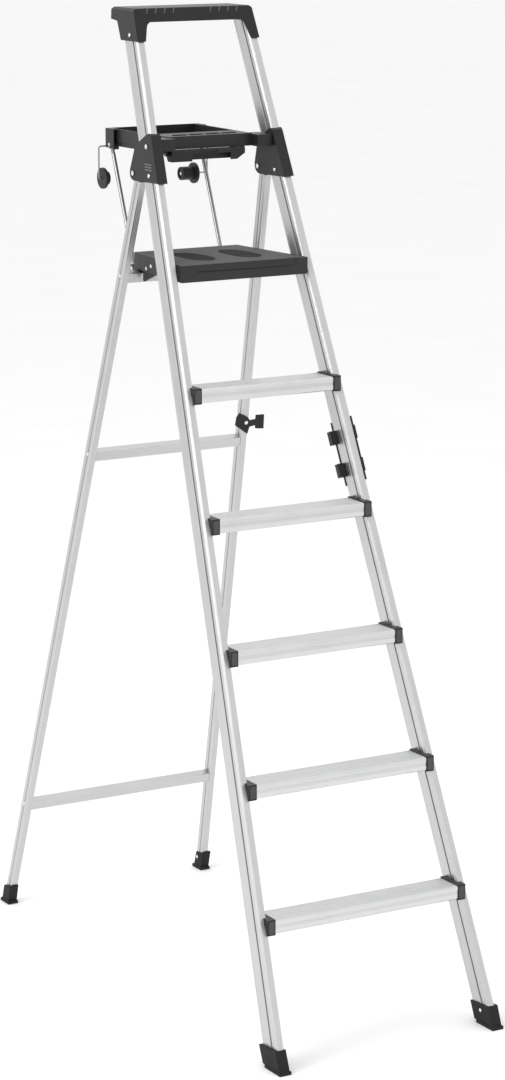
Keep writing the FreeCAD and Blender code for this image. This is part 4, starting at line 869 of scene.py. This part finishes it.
# %% Apron panel
PANEL_DROP = 0.0175
PANEL_PROUD = 0.0011
panel = []
for x, b in ((-0.132, -PANEL_DROP + 0.0006), (-0.09, -PANEL_DROP), (0.0, -PANEL_DROP), (0.128, -PANEL_DROP),
             (0.134, -PANEL_DROP + 0.001), (0.138, -PANEL_DROP + 0.004), (0.140, -PANEL_DROP + 0.009),
             (0.1415, -0.0016), (0.0, -0.0016), (-0.09, -0.0016), (-0.132, -0.0016)):
    panel.append((x, deck_high.z + b))
count = len(panel)
proud = [0.0001 if x < -0.13 else PANEL_PROUD for x, b in panel]
points = [Vector((x, deck_front + 0.0004, b)) for x, b in panel]
points += [Vector((x, deck_front - out, b)) for (x, b), out in zip(panel, proud)]
faces = [(k, (k + 1) % count, (k + 1) % count + count, k + count) for k in range(count)]
faces += [tuple(range(count)), tuple(range(count, 2 * count))[::-1]]
piece("apron_panel", (points, faces), DECK_PLASTIC, "platform", 40.0)
# A near-black bar along the lower edge of the panel: painted shadow under the proud panel.
shadow_line_path = [(x, deck_front - PANEL_PROUD * 0.6, b) for x, b in panel[:8]]
piece("apron_painted_shadow", bar(shadow_line_path, 0.0008), APRON_PAINTED_SHADOW, "platform", 50.0)
print("apron panel", round(panel[6][0] - panel[0][0], 3), "m long")

# %% [markdown]
# ## End caps of the steps
# Each step ends in a moulded cap, whose front is a grey rounded panel inside a black rim. Each cap is
# an island of its node's mesh, so the panel is fitted to it.

# %% End cap faces
RIM_SIDE = 0.0026
RIM_TOP = 0.0034
cap_faces = []
for index in range(1, 6):
    for points in islands(f"step_end_caps_{index}"):
        low, high = island_box(points)
        outline = rounded(low.x + RIM_SIDE, low.z + RIM_TOP, high.x - RIM_SIDE, high.z - RIM_TOP, 0.0035)
        cap_faces.append(pull(outline, facing_front, low.y - 0.0007, low.y + 0.0004))
piece("end_cap_faces", gather(cap_faces), BADGE_PLASTIC, "front_frame", 40.0, 0.0003)
print("end cap faces:", len(cap_faces))

# %% [markdown]
# ## Hinge brackets
# The outer cheek of each bracket has three plain moulded ribs between its rivets, which stiffen the
# plate. They lie flat on the cheek, which leans with the side of the ladder.

# %% Bracket ribs
BAR_START = 0.030
BAR_PITCH = 0.0065
BAR_SHIFT = 0.002
BAR_LENGTH = 0.036
BAR_THICKNESS = 0.0032
for word, side in SIDES.items():
    turn = lean(-side * SIDE_TAPER, 0)
    low, high = own_box("hinge_bracket_" + word, turn)
    outer = high.x if side > 0 else low.x
    bars = []
    for k in range(3):
        height = low.z + BAR_START + k * BAR_PITCH
        start = low.y + BAR_START + k * BAR_SHIFT
        outline = rounded(start, height, start + BAR_LENGTH, height + BAR_THICKNESS, 0.0015)
        bars.append(pull(outline, lambda a, b, t: turn @ Vector((t, a, b)), outer - side * 0.0003,
                         outer + side * 0.0009))
    # The ribs take the paler ridge plastic: painted highlight.
    piece(f"bracket_ribs_{word}", gather(bars), RIDGE_HIGHLIGHT_PLASTIC, "front_frame", 40.0, 0.0003)
print("bracket ribs on both sides")

# %% [markdown]
# ## Tool tray
# The ledge in front of the bin has four tool slots in a row, each inside a low raised rim.

# %% Tray rims
tray_low, tray_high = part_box("tray")
RIM_PITCH = 0.046
RIM_SETBACK = 0.0626
OUTER_HALF = (0.0195, 0.007)
INNER_HALF = (0.0168, 0.0044)
rim_middle = tray_low.y + RIM_SETBACK
lips = []
for k in range(4):
    x = RIM_PITCH * (k - 1.5)
    outer, inner = [rounded(x - half[0], rim_middle - half[1], x + half[0], rim_middle + half[1], radius)
                    for half, radius in ((OUTER_HALF, 0.004), (INNER_HALF, 0.002))]
    lips.append(ring(outer, inner, flat_xy, tray_high.z - 0.0004, tray_high.z + 0.0016))
piece("tray_slot_lips", gather(lips), TRAY_PLASTIC, "tray", 40.0, 0.0004)
print("raised rims:", len(lips))

# %% [markdown]
# ## Latch spring
# The CAD model holds the spring's room with a sleeve. Here it is wound as wire, a helix round the pin.

# %% Torsion spring
spring_low, spring_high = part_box("latch_spring")
spring_middle = (spring_low + spring_high) / 2
COIL_TURNS = 6
TURN_STEPS = 16
WIRE_RADIUS = 0.0006
WIRE_MARGIN = 0.0007
END_MARGIN = 0.0008
coil_radius = (spring_high.z - spring_low.z) / 2 - WIRE_MARGIN
coil_length = spring_high.x - spring_low.x - 2 * END_MARGIN
coil = []
for k in range(COIL_TURNS * TURN_STEPS + 1):
    angle = 2 * math.pi * k / TURN_STEPS
    x = spring_low.x + END_MARGIN + coil_length * k / (COIL_TURNS * TURN_STEPS)
    coil.append(Vector((x, spring_middle.y + coil_radius * math.cos(angle),
                        spring_middle.z + coil_radius * math.sin(angle))))
spring = piece("latch_spring_coil", bar(coil, WIRE_RADIUS), STEEL_ROD, "tray", 60.0)
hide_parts("latch_spring")
print("spring turns:", COIL_TURNS)

# %% [markdown]
# ## Floor
# A wide pale sheet that catches a soft shadow under the ladder.

# %% Floor
floor_finish = Finish("studio_floor", roughness=0.9, specular_ior_level=0.1)
dust = floor_finish.noise(floor_finish.place(), 2.0, 3.0)
floor_colour = floor_finish.blend(dust, grey(0.86), grey(0.9))
floor_mesh = bpy.data.meshes.new("studio_floor")
REACH = 60.0
floor_mesh.from_pydata([(-REACH, -REACH, 0), (REACH, -REACH, 0), (REACH, REACH, 0), (-REACH, REACH, 0)], [],
                       [(0, 1, 2, 3)])
floor = bpy.data.objects.new("studio_floor", floor_mesh)
bpy.context.scene.collection.objects.link(floor)
floor.data.materials.append(floor_finish.use(base_color=floor_colour))
print("floor laid")
